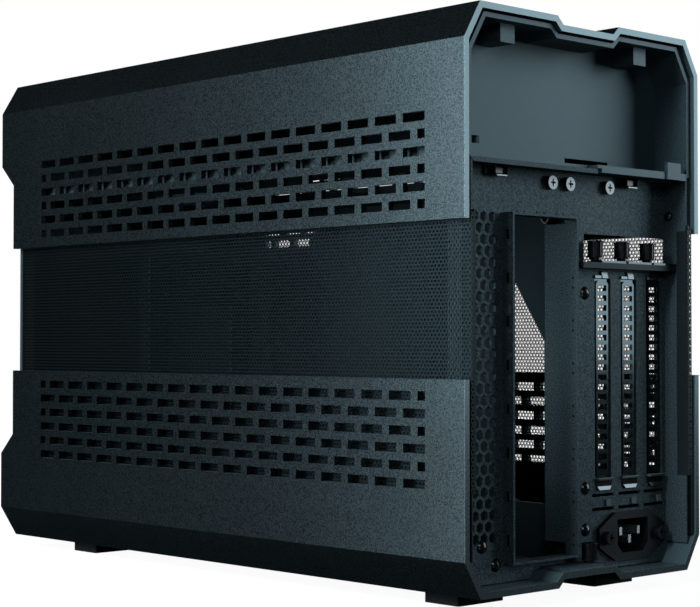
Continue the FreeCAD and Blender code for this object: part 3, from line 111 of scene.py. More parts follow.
class Wires:
    """Shader nodes that the finishes and the studio share."""

    @staticmethod
    def feed(tree: NodeTree, socket: Socket, value: Feed) -> None:
        """Links a value to a socket, or sets it there.

        Args:
            tree: The nodes.
            socket: The socket that takes the value.
            value: Another node's socket, a number or a vector.
        """
        if isinstance(value, Socket):
            tree.links.new(value, socket)
        else:
            socket.default_value = value

    @staticmethod
    def number(tree: NodeTree, operation: str, first: Feed, second: Feed) -> Socket:
        """Works out a number from two others.

        Args:
            tree: The nodes.
            operation: What is done with them.
            first: The first number.
            second: The second number.

        Returns:
            The result.
        """
        node = tree.nodes.new("ShaderNodeMath")
        node.operation = operation
        Wires.feed(tree, node.inputs[0], first)
        Wires.feed(tree, node.inputs[1], second)
        return node.outputs["Value"]

    @staticmethod
    def vector(tree: NodeTree, operation: str, first: Feed, second: Feed) -> Node:
        """Works out a vector, or a number, from two vectors.

        Args:
            tree: The nodes.
            operation: What is done with them.
            first: The first vector.
            second: The second vector.

        Returns:
            The node with the result.
        """
        node = tree.nodes.new("ShaderNodeVectorMath")
        node.operation = operation
        Wires.feed(tree, node.inputs[0], first)
        Wires.feed(tree, node.inputs[1], second)
        return node

    @staticmethod
    def mix(tree: NodeTree, share: Socket, first: Feed, second: Feed) -> Socket:
        """Mixes two colours.

        Args:
            tree: The nodes.
            share: How much of the second colour there is.
            first: The first colour.
            second: The second colour.

        Returns:
            The mixed colour.
        """
        node = tree.nodes.new("ShaderNodeMix")
        node.data_type = "RGBA"
        tree.links.new(share, node.inputs["Factor"])
        Wires.feed(tree, node.inputs["A"], first)
        Wires.feed(tree, node.inputs["B"], second)
        return node.outputs["Result"]

    @staticmethod
    def ramp(tree: NodeTree, value: Socket, before: Span, after: Span) -> Socket:
        """Maps one range of numbers to another.

        Args:
            tree: The nodes.
            value: The number.
            before: The range that it comes in.
            after: The range that it goes out in.

        Returns:
            The mapped number.
        """
        node = tree.nodes.new("ShaderNodeMapRange")
        for name, level in zip(("From Min", "From Max", "To Min", "To Max"), (*before, *after)):
            node.inputs[name].default_value = level
        tree.links.new(value, node.inputs["Value"])
        return node.outputs["Result"]

    @staticmethod
    def place(tree: NodeTree) -> Socket:
        """The object's own coordinates."""
        return tree.nodes.new("ShaderNodeTexCoord").outputs["Object"]

    @staticmethod
    def past(tree: NodeTree, place: Socket, axis: str, start: float) -> Socket:
        """Tells what lies past a place along an axis.

        Args:
            tree: The nodes.
            place: The object's own coordinates.
            axis: The axis's letter.
            start: The place along it.

        Returns:
            One past the place, and nought before it.
        """
        split = tree.nodes.new("ShaderNodeSeparateXYZ")
        tree.links.new(place, split.inputs["Vector"])
        return Wires.number(tree, "GREATER_THAN", split.outputs[axis], start)

    @staticmethod
    def grey(level: float) -> Tuple[float, float, float, float]:
        """An even grey of a given level."""
        return (level, level, level, 1.0)


@dataclass(frozen=True)
class Cap:
    """A bright end face, the finish that starts past a place along Y: on the shell's rim a painted highlight,
    on the bright screws their silver heads.
    """

    start: float
    colour: Colour


@dataclass(frozen=True)
class PaintedInnerLight:
    """Painted light: a paler colour on faces that look towards a line along Y, for the light that falls
    inside.
    """

    middle: Point
    colour: Colour
    across: Point = (1.0, 0.0, 1.0)
    slack: float = 1.0 * MM


@dataclass(frozen=True)
class Finish:
    """A procedural surface: colour with fine speckle and broad clouding, gloss and grain."""

    name: str
    colour: Colour
    roughness: float
    metallic: float = 0.0
    specular: float = 0.5
    tint: Colour = (1.0, 1.0, 1.0)
    grain_mm: float = 0.5
    grain_depth_mm: float = 0.004
    speckle: float = 0.15
    cloud_mm: float = 60.0
    cloud: float = 0.06
    gloss_spread: float = 0.03
    cap: Optional[Cap] = None
    inner_light: Optional[PaintedInnerLight] = None

    def material(self) -> Material:
        """Builds the material's nodes.

        Returns:
            The finished material.
        """
        material = bpy.data.materials.new(self.name)
        material.use_nodes = True
        tree = material.node_tree
        shader = tree.nodes["Principled BSDF"]
        shader.inputs["Metallic"].default_value = self.metallic
        shader.inputs["Specular IOR Level"].default_value = self.specular
        shader.inputs["Specular Tint"].default_value = (*self.tint, 1.0)
        place = Wires.place(tree)
        fine = self._noise(tree, place, self.grain_mm, FINE_OCTAVES)
        broad = self._noise(tree, place, self.cloud_mm, BROAD_OCTAVES)
        coat = self._paint(tree, fine, broad)
        if self.inner_light:
            coat = self._add_inner_light(tree, coat, shader)
        if self.cap:
            coat = self._add_cap(tree, place, coat, shader)
        tree.links.new(coat, shader.inputs["Base Color"])
        gloss = self._spread(tree, fine, self.roughness, self.gloss_spread)
        tree.links.new(gloss, shader.inputs["Roughness"])
        bump = tree.nodes.new("ShaderNodeBump")
        bump.inputs["Distance"].default_value = self.grain_depth_mm * MM
        tree.links.new(fine, bump.inputs["Height"])
        tree.links.new(bump.outputs["Normal"], shader.inputs["Normal"])
        return material

    def _paint(self, tree: NodeTree, fine: Socket, broad: Socket) -> Socket:
        """Speckles and clouds the colour.

        Args:
            tree: The material's nodes.
            fine: The noise of the speckle.
            broad: The noise of the clouds.

        Returns:
            The colour.
        """
        speckled = self._spread(tree, fine, 1.0, self.speckle)
        clouded = self._spread(tree, broad, 1.0, self.cloud)
        paint = tree.nodes.new("ShaderNodeVectorMath")
        paint.operation = "SCALE"
        paint.inputs[0].default_value = self.colour
        tree.links.new(Wires.number(tree, "MULTIPLY", speckled, clouded), paint.inputs["Scale"])
        return paint.outputs["Vector"]

    def _add_inner_light(self, tree: NodeTree, paint: Socket, shader: Node) -> Socket:
        """Gives the inner faces a paler colour as painted light, and keeps the metal to the outer faces.

        Args:
            tree: The material's nodes.
            paint: The colour of the outer faces.
            shader: The surface.

        Returns:
            The colour of both.
        """
        here = tree.nodes.new("ShaderNodeTexCoord").outputs
        from_middle = Wires.vector(tree, "SUBTRACT", here["Object"], self.inner_light.middle)
        across = Wires.vector(tree, "MULTIPLY", from_middle.outputs["Vector"], self.inner_light.across)
        outward = Wires.vector(tree, "DOT_PRODUCT", across.outputs["Vector"], here["Normal"])
        outer = Wires.number(tree, "GREATER_THAN", outward.outputs["Value"], -self.inner_light.slack)
        tree.links.new(Wires.number(tree, "MULTIPLY", outer, self.metallic), shader.inputs["Metallic"])
        return Wires.mix(tree, outer, (*self.inner_light.colour, 1.0), paint)

    def _add_cap(self, tree: NodeTree, place: Socket, paint: Socket, shader: Node) -> Socket:
        """Makes the faces past the cap's start a brighter finish: a painted highlight on the shell's rim,
        bright metal on the screw heads.

        Args:
            tree: The material's nodes.
            place: The object's coordinates.
            paint: The colour of the rest.
            shader: The surface.

        Returns:
            The colour of both.
        """
        past = Wires.past(tree, place, "Y", self.cap.start)
        if not self.metallic:
            tree.links.new(past, shader.inputs["Metallic"])
        return Wires.mix(tree, past, paint, (*self.cap.colour, 1.0))

    @staticmethod
    def _noise(tree: NodeTree, place: Socket, size_mm: float, octaves: float) -> Socket:
        """Adds noise on the object's own coordinates.

        Args:
            tree: The material's nodes.
            place: The object's coordinates.
            size_mm: The size of its broadest spots.
            octaves: How many finer sizes it has.

        Returns:
            The noise.
        """
        noise = tree.nodes.new("ShaderNodeTexNoise")
        noise.inputs["Scale"].default_value = 1.0 / (size_mm * MM)
        noise.inputs["Detail"].default_value = octaves
        tree.links.new(place, noise.inputs["Vector"])
        return noise.outputs["Fac"]

    @staticmethod
    def _spread(tree: NodeTree, noise: Socket, middle: float, reach: float) -> Socket:
        """Spreads noise about a middle value, with a given reach to each side."""
        return Wires.ramp(tree, noise, NOISE_SPAN, (middle - reach, middle + reach))


COOL: Colour = (0.5, 0.85, 1.0)
PALE_COOL: Colour = (0.75, 0.92, 1.0)
EDGE_GREY: Colour = (0.40, 0.43, 0.45)
SMOOTH_MM = 0.001

# The cap on the shell's rear rim is a painted highlight: a brighter metal where the light falls on that face.
# The paler colour on the shell's inner faces is painted light, for the light that falls inside the shell.
SHELL_PAINT = Finish("shell_paint", (0.0205, 0.0275, 0.0302), 0.28, metallic=0.93, specular=0.35,
                     tint=EDGE_GREY, grain_mm=0.6, speckle=0.38,
                     cap=Cap(185.3 * MM, (0.068, 0.089, 0.096)),
                     inner_light=PaintedInnerLight((0.0, 0.0, 140.0 * MM), (0.032, 0.048, 0.055)))
FRONT_PAINT = Finish("front_paint", (0.010, 0.014, 0.015), 0.42, tint=COOL)
MESH_PAINT = Finish("mesh_paint", (0.0016, 0.0022, 0.0024), 0.32, specular=0.12, tint=COOL, speckle=0.1)
HEM_PAINT = Finish("hem_paint", (0.009, 0.012, 0.013), 0.4, specular=0.1, tint=COOL)
BAY_PLASTIC = Finish("bay_plastic", (0.013, 0.020, 0.024), 0.5, specular=0.43, tint=COOL, grain_mm=0.9,
                     speckle=0.4)
PLATE_PAINT = Finish("plate_paint", (0.032, 0.046, 0.052), 0.42, metallic=0.32, specular=0.0, grain_mm=0.7,
                     grain_depth_mm=0.01, speckle=0.5)
SPINE_PAINT = Finish("spine_paint", (0.007, 0.010, 0.011), 0.45, specular=0.08, tint=COOL, grain_mm=1.0)
SHELF_PAINT = Finish("shelf_paint", (0.006, 0.009, 0.010), 0.4, specular=0.08, tint=COOL, grain_mm=0.8)
COVER_PAINT = Finish("cover_paint", (0.003, 0.0045, 0.005), 0.12, specular=0.36, tint=COOL,
                     grain_depth_mm=SMOOTH_MM)
# Painted highlight: a lighter, glossier copy of the cover steel for the tongues and necks, which catch the
# light.
TONGUE_HIGHLIGHT_PAINT = Finish("tongue_highlight_paint", (0.006, 0.008, 0.009), 0.2, specular=0.7, tint=PALE_COOL,
                      grain_depth_mm=SMOOTH_MM)
# Painted highlight: the bridges and louvre tabs are the plate's own steel, in a lighter colour for the light
# that they catch.
TAB_HIGHLIGHT_PAINT = Finish("tab_highlight_paint", (0.055, 0.075, 0.075), 0.5, specular=0.07, grain_depth_mm=SMOOTH_MM)
BLACK_SCREW = Finish("black_screw", (0.003, 0.004, 0.0045), 0.24, specular=0.25, grain_depth_mm=SMOOTH_MM)
BRIGHT_SCREW = Finish("bright_screw", (0.006, 0.007, 0.008), 0.3, grain_depth_mm=SMOOTH_MM,
                      cap=Cap(173.05 * MM, (0.075, 0.083, 0.086)))
INLET_PLASTIC = Finish("inlet_plastic", (0.003, 0.004, 0.0045), 0.4, specular=0.1, grain_depth_mm=SMOOTH_MM)
# Painted highlight: bright metal strips that stand in for the glint under the ledge clips.
GLINT_METAL = Finish("glint_metal", (0.11, 0.125, 0.13), 0.3, metallic=1.0, grain_depth_mm=SMOOTH_MM)
CONTACT_METAL = Finish("contact_metal", (0.55, 0.6, 0.62), 0.28, metallic=1.0, grain_depth_mm=SMOOTH_MM)
PORT_METAL = Finish("port_metal", (0.55, 0.56, 0.58), 0.32, metallic=1.0, grain_depth_mm=SMOOTH_MM)
BRASS = Finish("spacer_brass", (0.6, 0.42, 0.16), 0.3, metallic=1.0, grain_depth_mm=SMOOTH_MM)
FOOT_RUBBER = Finish("foot_rubber", (0.004, 0.005, 0.006), 0.7, specular=0.1, grain_mm=0.7)
BOARD_RESIN = Finish("board_resin", (0.006, 0.009, 0.009), 0.4, grain_mm=1.2, grain_depth_mm=SMOOTH_MM)
SOCKET_PLASTIC = Finish("socket_plastic", (0.010, 0.011, 0.012), 0.45)
BUTTON_PAINT = Finish("button_paint", (0.016, 0.021, 0.024), 0.36, tint=COOL)
# Painted shade: near-black that stands in for the dark inside of slots, holes and gaps.
PAINTED_SHADE = Finish("painted_shade", (0.0015, 0.002, 0.002), 0.8, specular=0.1)

SLOT_FINISHES: Dict[str, Finish] = {
    "shell": SHELL_PAINT,
    "front_face": FRONT_PAINT,
    "mesh": MESH_PAINT,
    "bay_plastic": BAY_PLASTIC,
    "steel": PLATE_PAINT,
    "cover_steel": COVER_PAINT,
    "black_screws": BLACK_SCREW,
    "bright_screws": BRIGHT_SCREW,
    "inlet_plastic": INLET_PLASTIC,
    "contact": CONTACT_METAL,
    "rubber": FOOT_RUBBER,
    "brass": BRASS,
    "board": BOARD_RESIN,
    "socket_plastic": SOCKET_PLASTIC,
    "port_metal": PORT_METAL,
    "button": BUTTON_PAINT,
}

NODE_FINISHES: Dict[str, Finish] = {"slot_shelf": SHELF_PAINT, "spine_plate": SPINE_PAINT}


class Bench:
    """Modelling steps that several pieces share."""

    @staticmethod
    def clear() -> None:
        """Deselects every object."""
        bpy.ops.object.select_all(action="DESELECT")

    @staticmethod
    def start(name: str) -> Object:
        """Names the primitive that was just added and applies its place.

        Args:
            name: The piece's name.

        Returns:
            The piece.
        """
        piece = bpy.context.active_object
        piece.name = name
        piece.data.name = name
        bpy.ops.object.transform_apply(location=True, rotation=True, scale=True)
        return piece

    @staticmethod
    def block(name: str, low: Point, high: Point) -> Object:
        """A block with sharp edges, to be shaped and rounded.

        Args:
            name: The piece's name.
            low: Its lowest corner.
            high: Its highest corner.

        Returns:
            The piece.
        """
        Bench.clear()
        middle = [(a + b) / 2 for a, b in zip(low, high)]
        size = [b - a for a, b in zip(low, high)]
        bpy.ops.mesh.primitive_cube_add(size=1.0, location=middle, scale=size)
        return Bench.start(name)

    @staticmethod
    def round(piece: Object, edge: float, least: float = LEAST_ROUNDED) -> Object:
        """Rounds a piece's edges.

        Args:
            piece: The active object.
            edge: Width of the rounding.
            least: The smallest angle that is rounded, in degrees.

        Returns:
            The piece.
        """
        rounding = piece.modifiers.new("Rounding", "BEVEL")
        rounding.width = edge
        rounding.segments = ROUND_STEPS
        rounding.limit_method = "ANGLE"
        rounding.angle_limit = math.radians(least)
        bpy.ops.object.modifier_apply(modifier=rounding.name)
        return piece

    @staticmethod
    def box(name: str, low: Point, high: Point, edge: float) -> Object:
        """A box between two corners, with edges rounded to a given width."""
        return Bench.round(Bench.block(name, low, high), edge)

    @staticmethod
    def dome(name: str, place: Point, size: Point, out: Way, sides: int) -> Object:
        """Half of a stretched ball, cut flat and shaded smooth.

        Args:
            name: The piece's name.
            place: Middle of its flat face.
            size: Size of the whole ball along the axes.
            out: The way that it stands out.
            sides: How many sides the ball has around it.

        Returns:
            The piece.
        """
        Bench.clear()
        bpy.ops.mesh.primitive_uv_sphere_add(segments=sides, ring_count=sides // 2, radius=0.5,
                                             location=place, scale=size)
        piece = Bench.start(name)
        Bench.pick_all()
        bpy.ops.mesh.bisect(plane_co=place, plane_no=out.value, clear_inner=True, use_fill=True)
        Bench.done()
        bpy.ops.object.shade_smooth_by_angle(angle=math.radians(LEAST_SHARP))
        return piece

    @staticmethod
    def sink(piece: Object, out: Way, border: float, depth: float) -> Object:
        """Sinks the middle of a flat face.

        Args:
            piece: The active object.
            out: The way that the face looks.
            border: Width of the rim that stays.
            depth: How far the middle sinks.

        Returns:
            The piece.
        """
        Bench.pick_side(piece, out)
        bpy.ops.mesh.inset(thickness=border)
        bpy.ops.mesh.extrude_region_move(TRANSFORM_OT_translate={"value": out.step(-depth)})
        Bench.done()
        return piece

    @staticmethod
    def repeat(piece: Object, step: Point, count: int) -> None:
        """Copies a piece's mesh along a step.

        Args:
            piece: The piece.
            step: From one copy to the next.
            count: How many copies, the first among them.
        """
        Bench.clear()
        piece.select_set(True)
        bpy.context.view_layer.objects.active = piece
        array = piece.modifiers.new("Copies", "ARRAY")
        array.use_relative_offset = False
        array.use_constant_offset = True
        array.constant_offset_displace = step
        array.count = count
        bpy.ops.object.modifier_apply(modifier=array.name)

    @staticmethod
    def join(pieces: Sequence[Object], name: str) -> Object:
        """Makes one piece of several.

        Args:
            pieces: The pieces to join.
            name: Name of the joined piece.

        Returns:
            The joined piece.
        """
        Bench.clear()
        for piece in pieces:
            piece.select_set(True)
        bpy.context.view_layer.objects.active = pieces[0]
        bpy.ops.object.join()
        joined = bpy.context.active_object
        joined.name = name
        joined.data.name = name
        return joined

    @staticmethod
    def pick_all() -> None:
        """Enters edit mode with all of the active object selected."""
        bpy.ops.object.mode_set(mode="EDIT")
        bpy.ops.mesh.select_all(action="SELECT")

    @staticmethod
    def pick_faces(piece: Object, test: Callable[[Vector, Vector], bool]) -> None:
        """Enters edit mode with the faces selected that pass a test.

        Args:
            piece: The active object.
            test: Takes a face's middle and its normal.
        """
        bpy.ops.object.mode_set(mode="EDIT")
        bpy.ops.mesh.select_mode(type="FACE")
        bpy.ops.mesh.select_all(action="DESELECT")
        bpy.ops.object.mode_set(mode="OBJECT")
        for face in piece.data.polygons:
            face.select = test(face.center, face.normal)
        bpy.ops.object.mode_set(mode="EDIT")

    @staticmethod
    def pick_side(piece: Object, out: Way) -> None:
        """Enters edit mode with the active object's faces selected that look one way."""
        along = Vector(out.value)
        Bench.pick_faces(piece, lambda middle, normal: normal.dot(along) > FLAT)

    @staticmethod
    def done() -> None:
        """Leaves edit mode."""
        bpy.ops.object.mode_set(mode="OBJECT")

    @staticmethod
    def dress(piece: Object, material: Material, slot: str, body: Body) -> None:
        """Gives a piece its finish and its body.

        Args:
            piece: The finished piece.
            material: Its material.
            slot: Not used.
            body: The body that it moves with.
        """
        piece.data.materials.clear()
        piece.data.materials.append(material)
        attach(piece, body.value)
        LOG.info("%s: %d faces", piece.name, len(piece.data.polygons))


@dataclass
class FinishBook:
    """The materials, each made once."""

    made: Dict[str, Material] = field(default_factory=dict)

    def slot(self, slot: str) -> Material:
        """The material of a slot of the record."""
        return self.plain(SLOT_FINISHES[slot])

    def plain(self, finish: Finish) -> Material:
        """The material of a finish.

        Args:
            finish: The finish.

        Returns:
            Its material.
        """
        if finish.name not in self.made:
            self.made[finish.name] = finish.material()
        return self.made[finish.name]

    def dress_nodes(self) -> None:
        """Gives every solid of the frame its own finish, or that of its slot."""
        for part in frame["record"]["subparts"]:
            node = frame["nodes"][part["node"]]
            own = NODE_FINISHES.get(part["node"])
            material = self.plain(own) if own else self.slot(part["material_slot"])
            for place in node.material_slots:
                place.material = material
            LOG.info("%s wears %s", part["node"], material.name)


@dataclass
class MeshPanel:
    """A side panel of fine steel mesh, hemmed at its front and rear ends."""

    side: Way
    outer: float = 81.2 * MM
    sheet: float = 1.0 * MM
    wall: float = 0.5 * MM
    fold: float = 3.3 * MM
    hem: float = 8.8 * MM
    strip: float = 0.3 * MM
    front: float = -170.4 * MM
    rear: float = 184.8 * MM
    low: float = 23.8 * MM
    mesh_low: float = 53.4 * MM
    high: float = 178.5 * MM
    low_rows: int = 18
    pitch: float = 2.21 * MM
    row: float = 1.717 * MM
    wire: float = 0.74 * MM
    row_slack: float = 0.01

    @property
    def label(self) -> str:
        """The solid that this panel stands for."""
        return "mesh_panel_left" if self.side is Way.LEFT else "mesh_panel_right"

    @property
    def sign(self) -> float:
        """One on the left, and minus one on the right."""
        return self.side.value[0]

    def build(self, book: FinishBook) -> None:
        """Models the panel in two heights.

        Args:
            book: The materials.
        """
        face = self.sign * self.outer
        middle = self.mesh_low + self.row * 2 * self.low_rows
        lower = self.weave(self.side, (face, self.front, self.mesh_low), (face, self.rear, middle))
        upper = self.weave(self.side, (face, self.front, middle), (face, self.rear, self.high))
        ends = self.hems()
        across = sorted((self.sign * (self.outer - self.sheet), face))
        skirt = Bench.box("skirt", (across[0], self.front, self.low),
                          (across[1], self.rear, self.mesh_low + self.row), self.sheet / 4)
        lower = Bench.join([lower, skirt], self.label + "_lower")
        upper.name = self.label + "_upper"
        hem = Bench.join(ends, self.label + "_hem")
        for piece in (lower, upper):
            Bench.dress(piece, book.slot("mesh"), "mesh", Body.CHASSIS)
        Bench.dress(hem, book.plain(HEM_PAINT), "mesh", Body.CHASSIS)
        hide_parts(self.label)

    def hems(self) -> List[Object]:
        """The sheet's ends, folded round and laid back on its inner face.

        Returns:
            The folds and the layers inside them.
        """
        across = sorted((self.sign * (self.outer - self.fold), self.sign * self.outer))
        inside = self.sign * (self.outer - self.fold + self.sheet)
        strip = (inside - self.strip, inside + self.strip)
        pieces = []
        for end, along in ((Way.REAR, self.rear), (Way.FRONT, self.front)):
            pieces.append(self.weave(end, (across[0], along, self.mesh_low), (across[1], along, self.high)))
            back = sorted((along, along - end.value[1] * self.hem))
            low = (inside, back[0] + self.pitch / 4, self.mesh_low + self.row / 2)
            pieces.append(self.weave(self.side, low, (inside, back[1] - self.pitch / 4, self.high)))
            pieces.append(Bench.box("strip", (strip[0], back[0], self.mesh_low),
                                    (strip[1], back[1], self.high), self.strip / 4))
        return pieces

    def weave(self, facing: Way, low: Point, high: Point) -> Object:
        """A flat sheet of six-sided mesh between two corners, with the walls of its holes.

        Args:
            facing: The way that it faces.
            low: Its lowest corner.
            high: Its highest corner.

        Returns:
            The sheet.
        """
        run = 1 if facing in (Way.LEFT, Way.RIGHT) else 0
        across = max(1, round((high[run] - low[run]) / self.pitch))
        up = max(1, int((high[2] - low[2]) / (2 * self.row) + self.row_slack))
        cell = self.row * 2 / 3
        Bench.clear()
        start = list(low)
        start[2] += cell
        stretch = self.pitch / (cell * math.sqrt(3))
        bpy.ops.mesh.primitive_circle_add(vertices=6, radius=cell, fill_type="NGON", location=start,
                                          rotation=facing.turn, scale=(stretch, 1.0, 1.0))
        sheet = Bench.start("weave")
        Bench.pick_all()
        bpy.ops.mesh.inset(thickness=self.wire / 2)
        bpy.ops.mesh.extrude_region_move(TRANSFORM_OT_translate={"value": facing.step(-self.wall)})
        bpy.ops.mesh.delete(type="FACE")
        Bench.done()
        along = Way.REAR if run else Way.LEFT
        half = list(along.step(self.pitch / 2))
        half[2] = self.row
        Bench.repeat(sheet, tuple(half), 2)
        Bench.repeat(sheet, along.step(self.pitch), across + 1)
        Bench.repeat(sheet, Way.UP.step(2 * self.row), up)
        self.trim(low, along.step(-1.0))
        self.trim(high, along.step(1.0))
        return sheet

    @staticmethod
    def trim(place: Point, away: Point) -> None:
        """Cuts off what lies past a plane.

        Args:
            place: A point on the plane.
            away: The way that is cut off.
        """
        Bench.pick_all()
        bpy.ops.mesh.bisect(plane_co=place, plane_no=away, clear_outer=True)
        Bench.done()


@dataclass
class Thumbscrew:
    """A black thumbscrew that points down, with a knurled head."""

    place: Span
    seat: float
    tip: float
    radius: float = 3.65 * MM
    rise: float = 2.0 * MM
    tall: float = 7.4 * MM
    neck: float = 2.6 * MM
    neck_sides: int = 32
    thread: float = 1.7 * MM
    thread_sides: int = 24
    groove: float = 0.35 * MM
    ridges: int = 20
    least_rounded: float = 50.0

    def build(self) -> Object:
        """Models the screw.

        Returns:
            The screw.
        """
        top = self.seat + self.rise
        head = self.rod("head", self.radius, (top, top + self.tall), 2 * self.ridges)
        self.knurl(head)
        neck = self.rod("neck", self.neck, (self.seat, top), self.neck_sides)
        thread = self.rod("thread", self.thread, (self.tip, self.seat), self.thread_sides)
        self.point(thread)
        return Bench.join([head, neck, thread], "thumbscrew")

    def rod(self, name: str, radius: float, ends: Span, sides: int) -> Object:
        """A round bar along Z.

        Args:
            name: Its name.
            radius: Its radius.
            ends: Its lower and its upper end.
            sides: How many flat sides it has.

        Returns:
            The bar.
        """
        low, high = ends
        Bench.clear()
        bpy.ops.mesh.primitive_cylinder_add(vertices=sides, radius=radius, depth=high - low,
                                            location=(*self.place, (low + high) / 2))
        return Bench.round(Bench.start(name), self.groove / 2, self.least_rounded)

    def knurl(self, head: Object) -> None:
        """Sinks every other flat side, and dishes the top of the head.

        Args:
            head: The active object.
        """
        x, y = self.place
        turn = math.pi / self.ridges

        def sunk(middle: Vector, normal: Vector) -> bool:
            """Whether a flat side is one of those that sink."""
            angle = math.atan2(middle.y - y, middle.x - x)
            return abs(normal.z) < UPRIGHT and int(math.floor(angle / turn)) % 2 == 0

        Bench.pick_faces(head, sunk)
        bpy.ops.mesh.extrude_faces_move(TRANSFORM_OT_shrink_fatten={"value": -self.groove})
        Bench.done()
        Bench.sink(head, Way.UP, self.radius / 4, self.groove)

    def point(self, thread: Object) -> None:
        """Tapers the thread's lower end.

        Args:
            thread: The active object.
        """
        Bench.pick_side(thread, Way.DOWN)
        bpy.ops.mesh.inset(thickness=self.thread / 3)
        bpy.ops.transform.translate(value=Way.DOWN.step(self.thread / 3))
        Bench.done()


@dataclass
class Thumbscrews:
    """The thumbscrews of the card slots, and the one that holds the bottom shell."""

    slot_side: float = 10.0 * MM
    slot_y: float = 174.2 * MM
    slot_seat: float = 159.2 * MM
    slot_tip: float = 156.6 * MM
    base_place: Span = (-11.0 * MM, 176.0 * MM)
    base_seat: float = 14.95 * MM
    base_tip: float = 13.2 * MM

    def build(self, book: FinishBook) -> None:
        """Models the screws in place of their solids.

        Args:
            book: The materials.
        """
        slots = Thumbscrew((CARD_X + self.slot_side, self.slot_y), self.slot_seat, self.slot_tip).build()
        slots.name = "knurled_slot_screws"
        Bench.repeat(slots, CARD_STEP, CARD_COUNT)
        base = Thumbscrew(self.base_place, self.base_seat, self.base_tip).build()
        base.name = "knurled_base_screw"
        for piece, node in ((slots, "slot_thumbscrews"), (base, "base_thumbscrew")):
            Bench.dress(piece, book.slot("black_screws"), "black_screws", Body.CHASSIS)
            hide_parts(node)


@dataclass
class SlotTrim:
    """Bridges, tongues and tabs around the three card slots, made at the first slot and copied."""

    bridge: Span = (53.0 * MM, 54.3 * MM)
    bridge_half: float = 6.1 * MM
    bridge_deep: float = 2.2 * MM
    tongue: Span = (48.2 * MM, 50.2 * MM)
    tongue_half: float = 5.6 * MM
    tongue_taper: float = 0.72
    neck: Span = (150.9 * MM, 154.5 * MM)
    neck_across: Span = (-2.6 * MM, 2.0 * MM)
    neck_shift: float = -0.6 * MM
    bar_across: Span = (-3.0 * MM, 6.6 * MM)
    bar_tall: float = 1.5 * MM
    tab: Span = (40.3 * MM, 43.6 * MM)
    tab_across: Span = (-4.7 * MM, -1.5 * MM)
    sheet: float = 0.8 * MM
    edge: float = 0.16 * MM
    gap: float = 0.1 * MM
    lean: float = 0.4 * MM

    def build(self, book: FinishBook) -> None:
        """Models the trim of all slots.

        Args:
            book: The materials.
        """
        tongues = Bench.join([self.tongue_plate(), self.neck_plate()], "slot_tongues")
        bridges = Bench.join([self.bridge_plate(), self.louvre_tab()], "slot_bridges")
        mouths = self.mouth_plate()
        mouths.name = "slot_mouth_shades"
        # Tongues and bridges wear painted highlights; the mouths are sheets of painted shade.
        for piece, finish, slot in ((tongues, TONGUE_HIGHLIGHT_PAINT, "cover_steel"), (bridges, TAB_HIGHLIGHT_PAINT, "steel"),
                                    (mouths, PAINTED_SHADE, "cover_steel")):
            Bench.repeat(piece, CARD_STEP, CARD_COUNT)
            Bench.dress(piece, book.plain(finish), slot, Body.CHASSIS)

    def strip(self, name: str, across: Span, height: Span) -> Object:
        """A strip of sheet with sharp edges, just off the rear plate.

        Args:
            name: The strip's name.
            across: Its ends along X, from the middle of the slot.
            height: Its lower and its upper end.

        Returns:
            The strip.
        """
        return Bench.block(name, (CARD_X + across[0], PLATE_Y + self.gap, height[0]),
                           (CARD_X + across[1], PLATE_Y + self.sheet, height[1]))

    @staticmethod
    def slope(piece: Object, low_step: Point) -> Object:
        """Moves the lower face of a block, so that it leans.

        Args:
            piece: The active object.
            low_step: Where its lower face moves.

        Returns:
            The piece.
        """
        Bench.pick_side(piece, Way.DOWN)
        bpy.ops.transform.translate(value=low_step)
        Bench.done()
        return piece

    def tongue_plate(self) -> Object:
        """The tongue under a cover, bent up towards the light and narrower at its tip.

        Returns:
            The tongue.
        """
        piece = self.strip("tongue", (-self.tongue_half, self.tongue_half), self.tongue)
        self.slope(piece, (0.0, self.lean, 0.0))
        Bench.pick_side(piece, Way.DOWN)
        bpy.ops.transform.resize(value=(self.tongue_taper, 1.0, 1.0),
                                 center_override=(CARD_X, PLATE_Y, self.tongue[0]))
        Bench.done()
        return Bench.round(piece, self.edge)

    def neck_plate(self) -> Object:
        """The neck of a cover under the shelf.

        Returns:
            The neck with the bar below it.
        """
        low = self.neck[0]
        bar = Bench.round(self.strip("bar", self.bar_across, (low, low + self.bar_tall)), self.edge)
        neck = self.strip("neck", self.neck_across, self.neck)
        self.slope(neck, (self.neck_shift, self.lean, 0.0))
        return Bench.join([bar, Bench.round(neck, self.edge)], "neck")

    def louvre_tab(self) -> Object:
        """The small tab between the two slits under a slot."""
        piece = self.strip("tab", self.tab_across, self.tab)
        return Bench.round(self.slope(piece, (0.0, self.lean / 2, 0.0)), self.edge)

    def mouth_plate(self) -> Object:
        """A sheet of painted shade in the mouth between a bridge and the tongue under it."""
        return Bench.box("mouth", (CARD_X - self.bridge_half, PLATE_Y + self.gap / 2, self.tongue[1]),
                         (CARD_X + self.bridge_half, PLATE_Y + self.sheet / 2, self.bridge[0]),
                         self.sheet / 8)

    def bridge_plate(self) -> Object:
        """The bridge pressed out over a tongue.

        Returns:
            The bridge.
        """
        low, high = self.bridge
        piece = Bench.box("bridge", (CARD_X - self.bridge_half, PLATE_Y, low),
                          (CARD_X + self.bridge_half, PLATE_Y + self.bridge_deep, high), self.sheet / 2)
        return Bench.sink(piece, Way.REAR, self.sheet / 2, self.sheet / 2)


